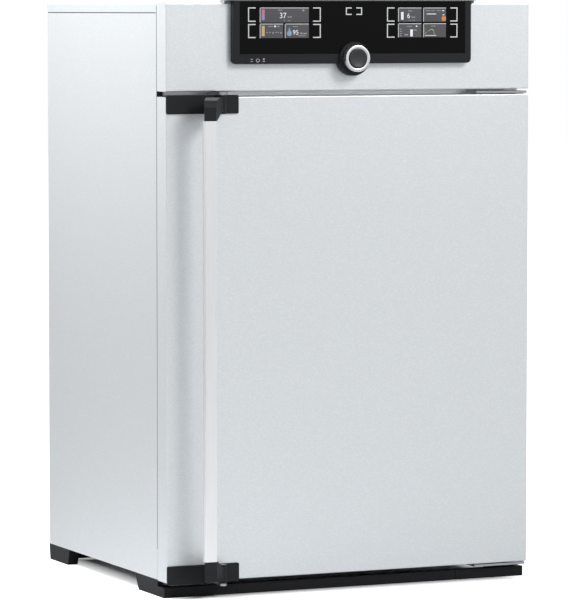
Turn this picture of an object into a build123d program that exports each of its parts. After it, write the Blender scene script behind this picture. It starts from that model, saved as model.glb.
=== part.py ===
from build123d import *
import os
from math import cos, radians, sin

# Carbon dioxide incubator of the 150 litre class, in millimetres.
# The origin is on the floor under the middle of the whole object, handle included.
# +X is to the right as seen from the front, the front faces -Y, +Z is up.

os.makedirs("parts", exist_ok=True)

# Casing, with the wall thickness between it and the chamber, and the height over the door
side_wall = 79.5
end_wall = 80.95
rear_wall = 76.0
head_height = 165.5
case_bottom = 30.0
sheet = 1.2
bend_radius = 2.0
return_width = 14.0
cover_drop = 18.2
cover_seam = 1.6
cover_seat = 10.0
seam_play = 0.3
lug_width = 12.0
lug_height = 30.0
lug_spacing = 66.0

# Outer door, with the gaps around it
door_bottom = 28.6
door_depth = 41.0
door_gap = 3.0
door_lip = 14.0
door_hinge_round = 6.0
door_emboss = 5.0
door_emboss_play = 16.0
door_emboss_taper = 30
fascia_gap = 9.7
gasket_width = 12.0
gasket_thickness = 2.7
gasket_surround = 10.0

# Door hinge: a pin near the right edge, in a plate above and one below the door
hinge_edge = 15.5
hinge_setback = 14.0
hinge_pin_radius = 4.0
hinge_pin_reach = 12.0
hinge_plate = 4.0
hinge_plate_width = 105.5
hinge_leg = 2.0
hinge_leg_inset = 14.0
hinge_leg_rise = 25.0
hinge_play = 0.3
bush_flange = 1.5
bush_flange_radius = 11.0
bush_radius = 7.0
hinge_pin_neck = 1.0
running_clearance = 0.05

# Chamber, and the recess in front of it that takes the glass door
chamber_width = 560.0
chamber_height = 700.0
chamber_depth = 400.0
chamber_corner = 12.0
fan_space = 39.0
liner = 1.2
frame_sheet = 1.5
recess_depth = 24.0
recess_border = 36.0
recess_corner = 20.0
mat_thickness = 1.5
mat_margin = 40.0
insulation_play = 0.5

# Glass door
pane_thickness = 5.0
pane_overlap = 10.0
pane_gasket = 3.0
pane_play = 0.3
glass_pin_radius = 2.5
glass_pin_inset = 16.0
glass_pin_setback = 4.0
glass_knuckle_radius = 5.0
glass_leaf = 2.5
glass_leaf_margin = 12.0
glass_leaf_height = 36.0
glass_hinge_spacing = 500.0
glass_ear = 4.0
glass_bolt_radius = 2.5
glass_bolt_play = 1.0
glass_bolt_inset = 12.0
glass_bolt_spacing = 18.0
glass_disc_radius = 5.0
glass_disc = 2.0
latch_stud_radius = 3.0
latch_stud_inset = 13.0
latch_lever_length = 34.0
latch_lever_width = 12.0
latch_lever_thickness = 3.0
latch_lever_play = 1.0
latch_knob_radius = 7.0
latch_knob_depth = 6.0
latch_knob_sides = 8
latch_knob_taper = 4
latch_face = 2.0
latch_chamfer = 0.8

# Shelves, their rails and the water tray
rail_count = 7
rail_pitch = 80.0
first_rail = 95.0
rail_width = 8.0
rail_height = 12.0
shelf_sheet = 1.5
shelf_side_play = 2.5
shelf_setback = 16.0
shelf_rear_play = 6.0
shelf_skirt = 12.0
shelf_seat_play = 0.3
slot_length = 44.0
slot_width = 16.0
slot_pitch_x = 60.0
slot_pitch_y = 34.0
lower_shelf_rail = 1
upper_shelf_rail = 4
tray_width = 480.0
tray_depth = 300.0
tray_height = 45.0
tray_sheet = 1.5
tray_rim = 8.0

# Circulation fan
fan_radius = 75.0
fan_wheel_depth = 22.0
fan_wheel_play = 7.0
fan_blades = 10
blade_root = 34.0
blade_tip = 69.0
blade_sweep = 22.0
blade_curve = 45.0
fan_hub_radius = 12.0
fan_shaft_radius = 4.0
shaft_chamfer = 0.6
shaft_hole_play = 2.0
motor_radius = 40.0
motor_length = 48.0
motor_flange = 6.0
motor_bevel = 3.0
motor_play = 3.0
fan_cover_border = 26.0
cover_post_inset = 24.0
cover_slot_length = 30.0
cover_slot_width = 6.0
intake_inner_radius = 37.5
intake_inner_slots = 10
intake_outer_radius = 71.5
intake_outer_slots = 18
outlet_inset = 75.0
outlet_slots = 7
outlet_slot_pitch = 80.0

# Sensors that hang from the chamber ceiling
sensor_spacing = 90.0
sensor_neck_radius = 5.0
sensor_flange_radius = 14.0
sensor_flange = 3.0
sensor_setback = 40.0
sensor_vent = 2.0
sensor_vent_pitch = 5.0
gas_head_radius = 12.0
gas_head_length = 52.0
gas_head_vents = 4
heat_head_radius = 3.0
heat_head_length = 64.0
damp_head_radius = 6.0
damp_head_length = 46.0
damp_head_vents = 3

# Control panel
panel_width = 470.0
panel_drop = 108.0
panel_height = 112.8
panel_depth = 13.0
panel_corner = 8.0
panel_rear_depth = 26.0
panel_edge_round = 1.0
window_height = 70.0
bezel_side = 12.5
bezel_bottom = 18.0
bezel_top = 2.8
panel_glass = 3.0
glass_proud = 0.3
glass_play = 0.4
glass_corner = 2.0
glass_chamfer = 0.25
display_width = 98.0
display_height = 54.0
display_depth = 5.0
display_inset = 86.0
display_rise = 54.8
hood_thickness = 1.2
hood_overhang = 12.0
hood_rear = 22.0
hood_corner = 5.0
hood_edge_round = 1.0

# Turn and push knob, and the power key
knob_rise = 9.0
knob_lobe_radius = 31.0
knob_collar_radius = 30.0
knob_collar_depth = 5.0
collar_bevel = 1.5
ring_radius = 24.0
ring_bore = 16.4
ring_depth = 13.0
ring_play = 0.5
ring_web = 3.0
ring_bevel = 1.2
cap_play = 0.5
cap_proud = 1.5
cap_depth = 8.0
sleeve_radius = 6.0
stem_radius = 3.5
encoder_size = 22.0
encoder_depth = 9.0
key_width = 40.0
key_height = 11.6
key_inset = 44.0
key_rise = 6.6
key_depth = 5.0
key_travel = 1.5
key_play = 0.3
key_corner = 1.0
key_edge_round = 0.4

# Door handle: a bar on two levers that turn on upright spindles
handle_reach = 56.0
bar_width = 22.5
bar_depth = 12.0
bar_inset = 50.8
bar_end_inset = 41.4
bar_chamfer = 4.0
bar_round = 2.0
spindle_inset = 102.5
spindle_reach = 15.0
spindle_radius = 3.0
knuckle_radius = 6.75
bracket_width = 139.0
bracket_height = 30.0
bracket_plate = 3.5
bracket_wrap = 3.1
bracket_wrap_depth = 16.0
bracket_corner = 3.0
bracket_edge_round = 1.0
bracket_ear = 5.0
ear_play = 0.5
elbow_rise_front = 24.0
elbow_rise_rear = 36.0
lever_lap = 2.0
lever_neck = 8.0
lever_taper = (3.0, 5.0)
lever_sweep = (14.0, 21.0)
lever_root = (12.0, 3.0)
lever_drop = 4.0
lever_top_play = 0.5
latch_arm = 4.0
latch_arm_width = 8.0
latch_arm_play = 0.8
latch_claw = 6.0
latch_claw_play = 2.0
latch_clearance = 0.8
strike_width = 8.0
strike_flange = 24.0
strike_depth = 14.0
strike_height = 6.5

# Feet and plinth
plinth_setback = 13.0
plinth_height = 17.8
plinth_thickness = 20.0
front_foot_width = 138.9
plinth_seam = 0.8
foot_inset = 0.6
foot_leg = 20.0
front_foot_rear = 153.0
foot_taper = 20.0
rear_foot_overhang = 2.0
rear_foot_length = 106.4
rear_foot_taper = 9.4
rear_leg_width = 84.0
foot_flange = 4.0

# Back of the casing
spacer_depth = 8.0
spacer_radius = 14.0
spacer_bevel = 2.0
pocket_width = 230.0
pocket_height = 80.0
pocket_depth = 32.0
pocket_inset = 239.5
pocket_rise = 70.0
pocket_corner = 6.0
pocket_lap = 8.0
vent_length = 60.0
vent_width = 5.0
vent_rows = 8
vent_pitch = 10.0
vent_spacing = 90.0
vent_inset = 189.5
nozzle_places = [-85.0, -50.0]
nozzle_radius = 4.0
nozzle_length = 18.0
nozzle_hexagon_radius = 8.0
nozzle_hexagon = 6.0
nozzle_thread = 12.0
screw_body_radius = 5.0
fuse_places = [-10.0, 15.0]
fuse_radius = 8.0
fuse_cap = 7.0
fuse_chamfer = 1.0
fuse_slot_width = 1.6
fuse_slot_depth = 1.2
fuse_body = 18.0
inlet_place = 70.0
inlet_width = 50.0
inlet_height = 30.0
inlet_flange = 3.0
inlet_corner = 3.0
inlet_side_lap = 4.0
inlet_end_lap = 2.0
socket_width = 24.6
socket_height = 17.0
socket_depth = 16.0
blade_places = [(-7.0, 1.0), (7.0, 1.0), (0.0, 5.0)]
blade_width = 2.0
blade_height = 4.0
blade_setback = 3.0

# Electronics compartment
tray_rise = 4.5
tray_lip = 12.0
board_width = 240.0
board_depth = 170.0
board_inset = 59.5
device_gap = 62.0
board_setback = 60.0
board_corner = 4.0
board_thickness = 1.6
board_spacer_radius = 4.0
board_spacer_inset = 8.0
board_spacer_height = 10.0
transformer_size = (46.0, 38.0, 24.0)
transformer_place = (-60.0, -30.0)
connector_size = (120.0, 14.0, 24.0)
connector_place = (40.0, 60.0)
capacitor_radius = 8.0
capacitor_height = 30.0
capacitor_pitch = 24.0
capacitor_place = (30.0, -30.0)
chip_size = (22.0, 22.0, 3.0)
chip_pitch = 40.0
chip_place = (30.0, 20.0)
supply_size = (110.0, 180.0, 45.0)
supply_round = 1.5
supply_block = (90.0, 16.0, 18.0)
supply_vents = 8
supply_vent_pitch = 14.0
supply_vent_length = 60.0
supply_vent_width = 5.0
supply_vent_depth = 2.0
valve_pitch = 60.0
valve_block = (26.0, 34.0, 22.0)
valve_coil_radius = 11.0
valve_coil_height = 34.0
valve_stub_radius = 4.0
valve_stub_length = 58.0

# Places worked out from the sizes above
case_width = chamber_width + 2 * side_wall
case_depth = recess_depth + chamber_depth + fan_space + rear_wall
door_height = chamber_height + 2 * end_wall
door_top = door_bottom + door_height
door_mid = door_bottom + door_height / 2
case_top = door_top + head_height
total_depth = handle_reach + door_depth + door_gap + case_depth + spacer_depth
door_face = handle_reach - total_depth / 2
door_rear = door_face + door_depth
case_front = door_rear + door_gap
case_rear = case_front + case_depth
seam_z = case_top - cover_drop
fascia_bottom = door_top + fascia_gap
tray_z = door_top + tray_rise
hinge_x = case_width / 2 - hinge_edge
hinge_y = door_face + hinge_setback
spindle_x = spindle_inset - case_width / 2
ledge_front = case_front + recess_depth
liner_front = ledge_front + frame_sheet
liner_rear = ledge_front + chamber_depth + fan_space
fan_face = ledge_front + chamber_depth
chamber_floor = door_mid - chamber_height / 2
chamber_ceiling = door_mid + chamber_height / 2
recess_width = chamber_width + 2 * recess_border
recess_height = chamber_height + 2 * recess_border
pane_rear = ledge_front - pane_gasket
pane_front = pane_rear - pane_thickness
pane_edge = chamber_width / 2 + pane_overlap
latch_x = -pane_edge - latch_stud_inset
latch_rear = pane_front - latch_lever_play
latch_stud_front = latch_rear - latch_lever_thickness - latch_knob_depth / 2
panel_bottom = case_top - panel_drop


def front_plane(y):
    """Upright plane at depth y, drawn as seen from the front: x is X, y is Z."""
    return Plane.XZ.offset(-y)


def write(piece, name):
    """Label a finished piece and write its STEP file."""
    piece.part.label = name
    export_step(piece.part, f"parts/{name}.step")


# Side panels: one bent sheet each, with a return at the front and at the back
panel_side = case_width / 2
with BuildPart() as left_side_panel:
    with BuildSketch(Plane.XY.offset(case_bottom)):
        with BuildLine():
            FilletPolyline(
                (return_width - panel_side, case_front),
                (-panel_side, case_front),
                (-panel_side, case_rear),
                (return_width - panel_side, case_rear),
                radius=bend_radius,
            )
            offset(amount=sheet, side=Side.RIGHT)
        make_face()
    extrude(amount=seam_z - case_bottom)

with BuildPart() as right_side_panel:
    mirror(left_side_panel.part, about=Plane.YZ)

write(left_side_panel, "left_side_panel")
write(right_side_panel, "right_side_panel")

# Top cover: a lid sheet with a drop on all four sides, seated on a set-in strip above the seam
with BuildPart() as top_cover:
    with BuildSketch(Plane.XY.offset(seam_z + cover_seam)):
        with Locations((0, (case_front + case_rear) / 2)):
            Rectangle(case_width, case_depth)
    extrude(amount=cover_drop - cover_seam)
    fillet(top_cover.edges().filter_by(Axis.Z), radius=bend_radius)
    fillet(top_cover.faces().sort_by(Axis.Z)[-1].edges(), radius=bend_radius)
    offset(amount=-sheet, openings=top_cover.faces().sort_by(Axis.Z)[0])
    with BuildSketch(Plane.XY.offset(seam_z)):
        with Locations((0, (case_front + case_rear) / 2)):
            Rectangle(case_width - sheet, case_depth - sheet)
            Rectangle(case_width - 2 * cover_seat, case_depth - 2 * cover_seat, mode=Mode.SUBTRACT)
    extrude(amount=cover_seam + sheet)

write(top_cover, "top_cover")

# Base pan: a tray between the side panels, just above the feet
pan_width = case_width - 2 * (sheet + seam_play)
pan_front = case_front + frame_sheet + seam_play
pan_rear = case_rear - sheet - seam_play
with BuildPart() as base_pan:
    with BuildSketch(Plane.XY.offset(case_bottom)):
        with Locations((0, (pan_front + pan_rear) / 2)):
            Rectangle(pan_width, pan_rear - pan_front)
    extrude(amount=tray_lip)
    fillet(base_pan.edges().filter_by(Axis.Z), radius=2 * bend_radius)
    offset(amount=-frame_sheet, openings=base_pan.faces().sort_by(Axis.Z)[-1])

write(base_pan, "base_pan")

# Front frame: face plate, stepped recess for the glass door and the ledge round the chamber mouth
frame_width = case_width - 2 * (return_width + seam_play)
frame_top = seam_z - seam_play
window_bottom = panel_bottom + panel_corner
with BuildPart() as front_frame:
    with BuildSketch(front_plane(case_front)):
        with Locations((0, (case_bottom + frame_top) / 2)):
            Rectangle(frame_width, frame_top - case_bottom)
        with Locations((0, door_mid)):
            RectangleRounded(recess_width, recess_height, recess_corner, mode=Mode.SUBTRACT)
        with Locations((0, window_bottom + window_height / 2)):
            Rectangle(panel_width - 2 * return_width, window_height, mode=Mode.SUBTRACT)
    extrude(amount=-frame_sheet)
    with BuildSketch(front_plane(case_front)):
        with Locations((0, door_mid)):
            RectangleRounded(
                recess_width + 2 * frame_sheet, recess_height + 2 * frame_sheet, recess_corner + frame_sheet
            )
            RectangleRounded(recess_width, recess_height, recess_corner, mode=Mode.SUBTRACT)
    extrude(amount=-recess_depth - frame_sheet)
    with BuildSketch(front_plane(ledge_front)):
        with Locations((0, door_mid)):
            RectangleRounded(
                recess_width + 2 * frame_sheet, recess_height + 2 * frame_sheet, recess_corner + frame_sheet
            )
            RectangleRounded(chamber_width, chamber_height, chamber_corner, mode=Mode.SUBTRACT)
    extrude(amount=-frame_sheet)
    with BuildSketch(front_plane(ledge_front)):
        with Locations((latch_x, door_mid)):
            Circle(latch_stud_radius)
    extrude(amount=ledge_front - latch_stud_front)

write(front_frame, "front_frame")

# Chamber liner: one drawn box with round corners, shelf rails and openings for shaft and sensors
liner_length = liner_rear - liner_front
rail_length = fan_face - ledge_front - 2 * shelf_setback
sensor_y = fan_face - sensor_setback
with BuildPart() as inner_chamber:
    with BuildSketch(front_plane(liner_front)):
        with Locations((0, door_mid)):
            RectangleRounded(chamber_width + 2 * liner, chamber_height + 2 * liner, chamber_corner + liner)
    extrude(amount=-liner_length - liner)
    fillet(inner_chamber.faces().sort_by(Axis.Y)[-1].edges(), radius=chamber_corner - liner)
    offset(amount=-liner, openings=inner_chamber.faces().sort_by(Axis.Y)[0])
    for side in (-1, 1):
        wall = side * chamber_width / 2
        for rail in range(rail_count):
            rail_top = chamber_floor + first_rail + rail * rail_pitch
            with BuildSketch(front_plane(ledge_front + shelf_setback)):
                Polygon(
                    (wall, rail_top),
                    (wall - side * rail_width, rail_top),
                    (wall - side * rail_width, rail_top - rail_height / 2),
                    (wall, rail_top - rail_height),
                    align=None,
                )
            extrude(amount=-rail_length)
    with BuildSketch(front_plane(liner_rear - 2 * liner)):
        with Locations((0, door_mid)):
            Circle(fan_shaft_radius + shaft_hole_play)
    extrude(amount=-4 * liner, mode=Mode.SUBTRACT)
    with BuildSketch(Plane.XY.offset(chamber_ceiling - liner)):
        with Locations((0, sensor_y)):
            with GridLocations(sensor_spacing, 1, 3, 1):
                Circle(sensor_neck_radius + seam_play)
    extrude(amount=3 * liner, mode=Mode.SUBTRACT)

write(inner_chamber, "inner_chamber")

# Heater mats: thin sheets against the outside of the liner on five sides
mat_length = liner_length - 2 * mat_margin
mat_mid = (liner_front + liner_rear) / 2
with BuildPart() as heater_mats:
    for side in (-1, 1):
        with BuildSketch(Plane.YZ.offset(side * (chamber_width / 2 + liner))):
            with Locations((mat_mid, door_mid)):
                Rectangle(mat_length, chamber_height - 2 * mat_margin)
        extrude(amount=side * mat_thickness)
        with BuildSketch(Plane.XY.offset(door_mid + side * (chamber_height / 2 + liner))):
            with Locations((0, mat_mid)):
                Rectangle(chamber_width - 2 * mat_margin, mat_length)
            with Locations((0, sensor_y)):
                Rectangle(3 * sensor_spacing, 4 * sensor_flange_radius, mode=Mode.SUBTRACT)
        extrude(amount=side * mat_thickness)
    with BuildSketch(front_plane(liner_rear + liner)):
        with Locations((0, door_mid)):
            Rectangle(chamber_width - 2 * mat_margin, chamber_height - 2 * mat_margin)
            Circle(motor_radius + motor_play, mode=Mode.SUBTRACT)
    extrude(amount=-mat_thickness)

write(heater_mats, "heater_mats")

# Insulation: one jacket round the liner, from the ledge to the back panel
jacket_front = liner_front + frame_sheet
jacket_bottom = case_bottom + tray_lip
jacket_height = tray_z - jacket_bottom
jacket_rear = case_rear - sheet - insulation_play
cavity = 2 * (liner + mat_thickness + insulation_play)
with BuildPart() as chamber_insulation:
    with BuildSketch(front_plane(jacket_front)):
        with Locations((0, jacket_bottom + jacket_height / 2)):
            Rectangle(case_width - 2 * (sheet + insulation_play), jacket_height)
    extrude(amount=jacket_front - jacket_rear)
    with BuildSketch(front_plane(jacket_front)):
        with Locations((0, door_mid)):
            Rectangle(chamber_width + cavity, chamber_height + cavity)
    extrude(amount=jacket_front - liner_rear - cavity / 2, mode=Mode.SUBTRACT)
    with BuildSketch(front_plane(jacket_rear)):
        with Locations((0, door_mid)):
            Circle(motor_radius + motor_play)
    extrude(amount=jacket_rear - liner_rear, mode=Mode.SUBTRACT)
    with BuildSketch(Plane.XY.offset(chamber_ceiling)):
        with Locations((0, sensor_y)):
            with GridLocations(sensor_spacing, 1, 3, 1):
                Circle(sensor_neck_radius + insulation_play)
    extrude(amount=tray_z - chamber_ceiling, mode=Mode.SUBTRACT)

write(chamber_insulation, "chamber_insulation")

# Glass door gasket: a silicone strip on the ledge round the chamber mouth
with BuildPart() as glass_gasket:
    with BuildSketch(front_plane(ledge_front)):
        with Locations((0, door_mid)):
            RectangleRounded(
                chamber_width + 2 * gasket_width,
                chamber_height + 2 * gasket_width,
                chamber_corner + gasket_width,
            )
            RectangleRounded(
                chamber_width + 2 * liner,
                chamber_height + 2 * liner,
                chamber_corner + liner,
                mode=Mode.SUBTRACT,
            )
    extrude(amount=pane_gasket - pane_play)

write(glass_gasket, "glass_gasket")

# Glass door: a toughened pane with two drilled holes for each hinge leaf
glass_pin_x = chamber_width / 2 + pane_overlap + glass_pin_inset - glass_knuckle_radius
glass_pin_y = pane_front - glass_pin_setback
leaf_bolt_x = chamber_width / 2 - glass_bolt_inset
leaf_left = leaf_bolt_x - glass_leaf_margin
leaf_heights = [door_mid - glass_hinge_spacing / 2, door_mid + glass_hinge_spacing / 2]
with BuildPart() as glass_pane:
    with BuildSketch(front_plane(pane_front)):
        with Locations((0, door_mid)):
            RectangleRounded(2 * pane_edge, chamber_height + 2 * pane_overlap, chamber_corner)
        with Locations((leaf_bolt_x, door_mid)):
            with GridLocations(1, glass_hinge_spacing, 1, 2):
                with GridLocations(1, glass_bolt_spacing, 1, 2):
                    Circle(glass_bolt_radius + glass_bolt_play, mode=Mode.SUBTRACT)
    extrude(amount=-pane_thickness)

write(glass_pane, "glass_pane")

# Hinge leaves of the glass door: plate, knuckle and the two clamp bolts with their discs
with BuildPart() as glass_hinge_leaves:
    for height in leaf_heights:
        with BuildSketch(front_plane(pane_front)):
            with Locations(((leaf_left + glass_pin_x) / 2, height)):
                Rectangle(glass_pin_x - leaf_left, glass_leaf_height)
        extrude(amount=glass_leaf)
        with BuildSketch(Plane.XY.offset(height - glass_leaf_height / 2)):
            with Locations((glass_pin_x, glass_pin_y)):
                Circle(glass_knuckle_radius)
                Circle(glass_pin_radius + running_clearance, mode=Mode.SUBTRACT)
        extrude(amount=glass_leaf_height)
        with BuildSketch(Plane.XY.offset(height - glass_leaf_height / 2)):
            with Locations((glass_pin_x, glass_pin_y)):
                Circle(glass_pin_radius + running_clearance)
        extrude(amount=glass_leaf_height, mode=Mode.SUBTRACT)
        with BuildSketch(front_plane(pane_front)):
            with Locations((leaf_bolt_x, height)):
                with GridLocations(1, glass_bolt_spacing, 1, 2):
                    Circle(glass_bolt_radius)
        extrude(amount=-pane_thickness)
        with BuildSketch(front_plane(pane_rear)):
            with Locations((leaf_bolt_x, height)):
                with GridLocations(1, glass_bolt_spacing, 1, 2):
                    Circle(glass_disc_radius)
        extrude(amount=-glass_disc)

write(glass_hinge_leaves, "glass_hinge_leaves")

# Frame side of the glass door's hinges: wall plate, two ears and the pin
recess_side = recess_width / 2
ear_gap = glass_leaf_height / 2 + pane_play
with BuildPart() as glass_hinge_brackets:
    for height in leaf_heights:
        with BuildSketch(Plane.YZ.offset(recess_side)):
            with Locations((glass_pin_y, height)):
                Rectangle(2 * glass_knuckle_radius, 2 * (ear_gap + glass_ear))
        extrude(amount=-glass_leaf)
        for side in (-1, 1):
            with BuildSketch(Plane.XY.offset(height + side * ear_gap)):
                with Locations((glass_pin_x, glass_pin_y)):
                    Circle(glass_knuckle_radius)
                with Locations(((glass_pin_x + recess_side) / 2, glass_pin_y)):
                    Rectangle(recess_side - glass_pin_x, 2 * glass_knuckle_radius)
            extrude(amount=side * glass_ear)
        with BuildSketch(Plane.XY.offset(height - ear_gap)):
            with Locations((glass_pin_x, glass_pin_y)):
                Circle(glass_pin_radius)
        extrude(amount=2 * ear_gap)

write(glass_hinge_brackets, "glass_hinge_brackets")

# Latch of the glass door: a moulded turn knob with a tongue that hangs down while released
with BuildPart() as glass_latch_lever:
    with BuildSketch(front_plane(latch_rear)):
        with Locations((latch_x, door_mid)):
            Circle(latch_knob_radius)
        with Locations((latch_x, door_mid - latch_lever_length / 2 + latch_lever_width / 2)):
            SlotOverall(latch_lever_length, latch_lever_width, rotation=90)
    extrude(amount=latch_lever_thickness)
    with BuildSketch(front_plane(latch_rear)):
        with Locations((latch_x, door_mid)):
            RegularPolygon(latch_knob_radius, latch_knob_sides)
    extrude(amount=latch_lever_thickness + latch_knob_depth, taper=latch_knob_taper)
    chamfer(glass_latch_lever.faces().sort_by(Axis.Y)[0].edges(), length=latch_chamfer)
    with BuildSketch(front_plane(latch_rear)):
        with Locations((latch_x, door_mid)):
            Circle(latch_stud_radius + running_clearance)
    extrude(amount=latch_lever_thickness + latch_knob_depth - latch_face, mode=Mode.SUBTRACT)

write(glass_latch_lever, "glass_latch_lever")


def shelf(rail):
    """Perforated shelf on one pair of rails: a sheet with folded skirts and rows of long slots."""
    level = chamber_floor + first_rail + rail * rail_pitch + shelf_seat_play
    shelf_front = ledge_front + shelf_setback
    shelf_rear = fan_face - shelf_rear_play
    shelf_mid = (shelf_front + shelf_rear) / 2
    skirt_width = chamber_width - 2 * (rail_width + shelf_side_play)
    columns = int((skirt_width - slot_pitch_x) / slot_pitch_x)
    rows = int((shelf_rear - shelf_front - slot_pitch_y) / slot_pitch_y)
    with BuildPart() as plate:
        with BuildSketch(Plane.XY.offset(level)):
            with Locations((0, shelf_mid)):
                RectangleRounded(
                    chamber_width - 2 * shelf_side_play, shelf_rear - shelf_front, chamber_corner
                )
                with GridLocations(slot_pitch_x, slot_pitch_y, columns, rows):
                    Rectangle(slot_length, slot_width, mode=Mode.SUBTRACT)
        extrude(amount=shelf_sheet)
        with BuildSketch(Plane.XY.offset(level - shelf_skirt)):
            for edge in (shelf_front + shelf_sheet / 2, shelf_rear - shelf_sheet / 2):
                with Locations((0, edge)):
                    Rectangle(skirt_width - 2 * chamber_corner, shelf_sheet)
        extrude(amount=shelf_skirt)
    return plate


lower_shelf = shelf(lower_shelf_rail)
upper_shelf = shelf(upper_shelf_rail)
write(lower_shelf, "lower_shelf")
write(upper_shelf, "upper_shelf")

# Water tray on the chamber floor: a drawn pan with a flat rim
tray_front = ledge_front + shelf_setback
tray_mid = tray_front + tray_rim + tray_depth / 2
tray_base = chamber_floor + shelf_seat_play
with BuildPart() as water_tray:
    with BuildSketch(Plane.XY.offset(tray_base)):
        with Locations((0, tray_mid)):
            RectangleRounded(tray_width, tray_depth, 2 * chamber_corner)
    extrude(amount=tray_height)
    fillet(water_tray.faces().sort_by(Axis.Z)[0].edges(), radius=2 * tray_sheet)
    offset(amount=-tray_sheet, openings=water_tray.faces().sort_by(Axis.Z)[-1])
    with BuildSketch(Plane.XY.offset(tray_base + tray_height - tray_sheet)):
        with Locations((0, tray_mid)):
            RectangleRounded(
                tray_width + 2 * tray_rim, tray_depth + 2 * tray_rim, 2 * chamber_corner + tray_rim
            )
            RectangleRounded(
                tray_width - tray_sheet,
                tray_depth - tray_sheet,
                2 * chamber_corner - tray_sheet,
                mode=Mode.SUBTRACT,
            )
    extrude(amount=tray_sheet)

write(water_tray, "water_tray")

# Fan cover: a tray with an intake grille, side outlets and four posts to the rear wall
cover_width = chamber_width - 2 * fan_cover_border
cover_height = chamber_height - 2 * fan_cover_border
cover_return = fan_space - fan_cover_border
with BuildPart() as fan_cover:
    with BuildSketch(front_plane(fan_face)):
        with Locations((0, door_mid)):
            RectangleRounded(cover_width, cover_height, chamber_corner)
    extrude(amount=-cover_return)
    fillet(fan_cover.faces().sort_by(Axis.Y)[0].edges(), radius=2 * bend_radius)
    offset(amount=-frame_sheet, openings=fan_cover.faces().sort_by(Axis.Y)[-1])
    with BuildSketch(front_plane(fan_face + frame_sheet)):
        with Locations((0, door_mid)):
            with GridLocations(
                cover_width - 2 * cover_post_inset, cover_height - 2 * cover_post_inset, 2, 2
            ):
                Circle(fan_shaft_radius)
    extrude(amount=frame_sheet - fan_space)
    with BuildSketch(front_plane(fan_face)):
        with Locations((0, door_mid)):
            with PolarLocations(intake_inner_radius, intake_inner_slots):
                Rectangle(cover_slot_length, cover_slot_width)
            with PolarLocations(intake_outer_radius, intake_outer_slots):
                Rectangle(cover_slot_length, cover_slot_width)
            for side in (-1, 1):
                with Locations((side * (cover_width / 2 - outlet_inset), 0)):
                    with GridLocations(1, outlet_slot_pitch, 1, outlet_slots):
                        Rectangle(2 * cover_slot_length, cover_slot_width)
    extrude(amount=-frame_sheet, mode=Mode.SUBTRACT)

write(fan_cover, "fan_cover")

# Circulation fan: a centrifugal wheel inside the chamber, its shaft and the motor behind the wall
wheel_rear = liner_rear - fan_wheel_play
with BuildSketch() as blade_outline:
    with BuildLine():
        RadiusArc((blade_root, 0), (blade_tip, blade_sweep), blade_curve)
        offset(amount=frame_sheet, side=Side.LEFT)
    make_face()

with BuildPart() as fan_wheel:
    with BuildSketch(front_plane(wheel_rear)):
        with Locations((0, door_mid)):
            Circle(fan_radius)
            Circle(fan_shaft_radius, mode=Mode.SUBTRACT)
    extrude(amount=frame_sheet)
    with BuildSketch(front_plane(wheel_rear)):
        with Locations((0, door_mid)):
            Circle(fan_hub_radius)
            Circle(fan_shaft_radius, mode=Mode.SUBTRACT)
    extrude(amount=fan_wheel_depth)
    with BuildSketch(front_plane(wheel_rear - frame_sheet)):
        with Locations((0, door_mid)):
            with PolarLocations(0, fan_blades):
                add(blade_outline.sketch)
    extrude(amount=fan_wheel_depth - frame_sheet)

write(fan_wheel, "fan_wheel")

with BuildPart() as fan_shaft:
    with BuildSketch(front_plane(liner_rear + liner + seam_play)):
        with Locations((0, door_mid)):
            Circle(fan_shaft_radius)
    extrude(amount=liner + seam_play + fan_wheel_play + fan_wheel_depth + frame_sheet)
    chamfer(fan_shaft.faces().sort_by(Axis.Y)[0].edges(), length=shaft_chamfer)

write(fan_shaft, "fan_shaft")

with BuildPart() as fan_motor:
    with BuildSketch(front_plane(liner_rear + liner + 2 * seam_play)):
        with Locations((0, door_mid)):
            Circle(motor_radius)
    extrude(amount=-frame_sheet)
    with BuildSketch(front_plane(liner_rear + liner + 2 * seam_play + frame_sheet)):
        with Locations((0, door_mid)):
            Circle(motor_radius - motor_flange)
    extrude(amount=-motor_length)
    chamfer(fan_motor.faces().sort_by(Axis.Y)[-1].edges(), length=motor_bevel)

write(fan_motor, "fan_motor")


def sensor(x, head_radius, head_length, vents):
    """Sensor that hangs from the ceiling: neck through the wall, flange below it and a vented head."""
    with BuildPart() as probe:
        with BuildSketch(Plane.XY.offset(chamber_ceiling)):
            with Locations((x, sensor_y)):
                Circle(sensor_neck_radius)
        extrude(amount=tray_z - chamber_ceiling)
        with BuildSketch(Plane.XY.offset(chamber_ceiling)):
            with Locations((x, sensor_y)):
                Circle(sensor_flange_radius)
        extrude(amount=-sensor_flange)
        with BuildSketch(Plane.XY.offset(chamber_ceiling)):
            with Locations((x, sensor_y)):
                Circle(head_radius)
        extrude(amount=-head_length)
        chamfer(probe.faces().sort_by(Axis.Z)[0].edges(), length=head_radius / 3)
        for vent in range(vents):
            with BuildSketch(Plane.YZ.offset(x - head_radius)):
                with Locations((sensor_y, chamber_ceiling - head_length / 2 - vent * sensor_vent_pitch)):
                    Rectangle(head_radius, sensor_vent)
            extrude(amount=2 * head_radius, mode=Mode.SUBTRACT)
    return probe


co2_sensor = sensor(sensor_spacing, gas_head_radius, gas_head_length, gas_head_vents)
temperature_probe = sensor(0, heat_head_radius, heat_head_length, 0)
humidity_sensor = sensor(-sensor_spacing, damp_head_radius, damp_head_length, damp_head_vents)
write(co2_sensor, "co2_sensor")
write(temperature_probe, "temperature_probe")
write(humidity_sensor, "humidity_sensor")

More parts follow.
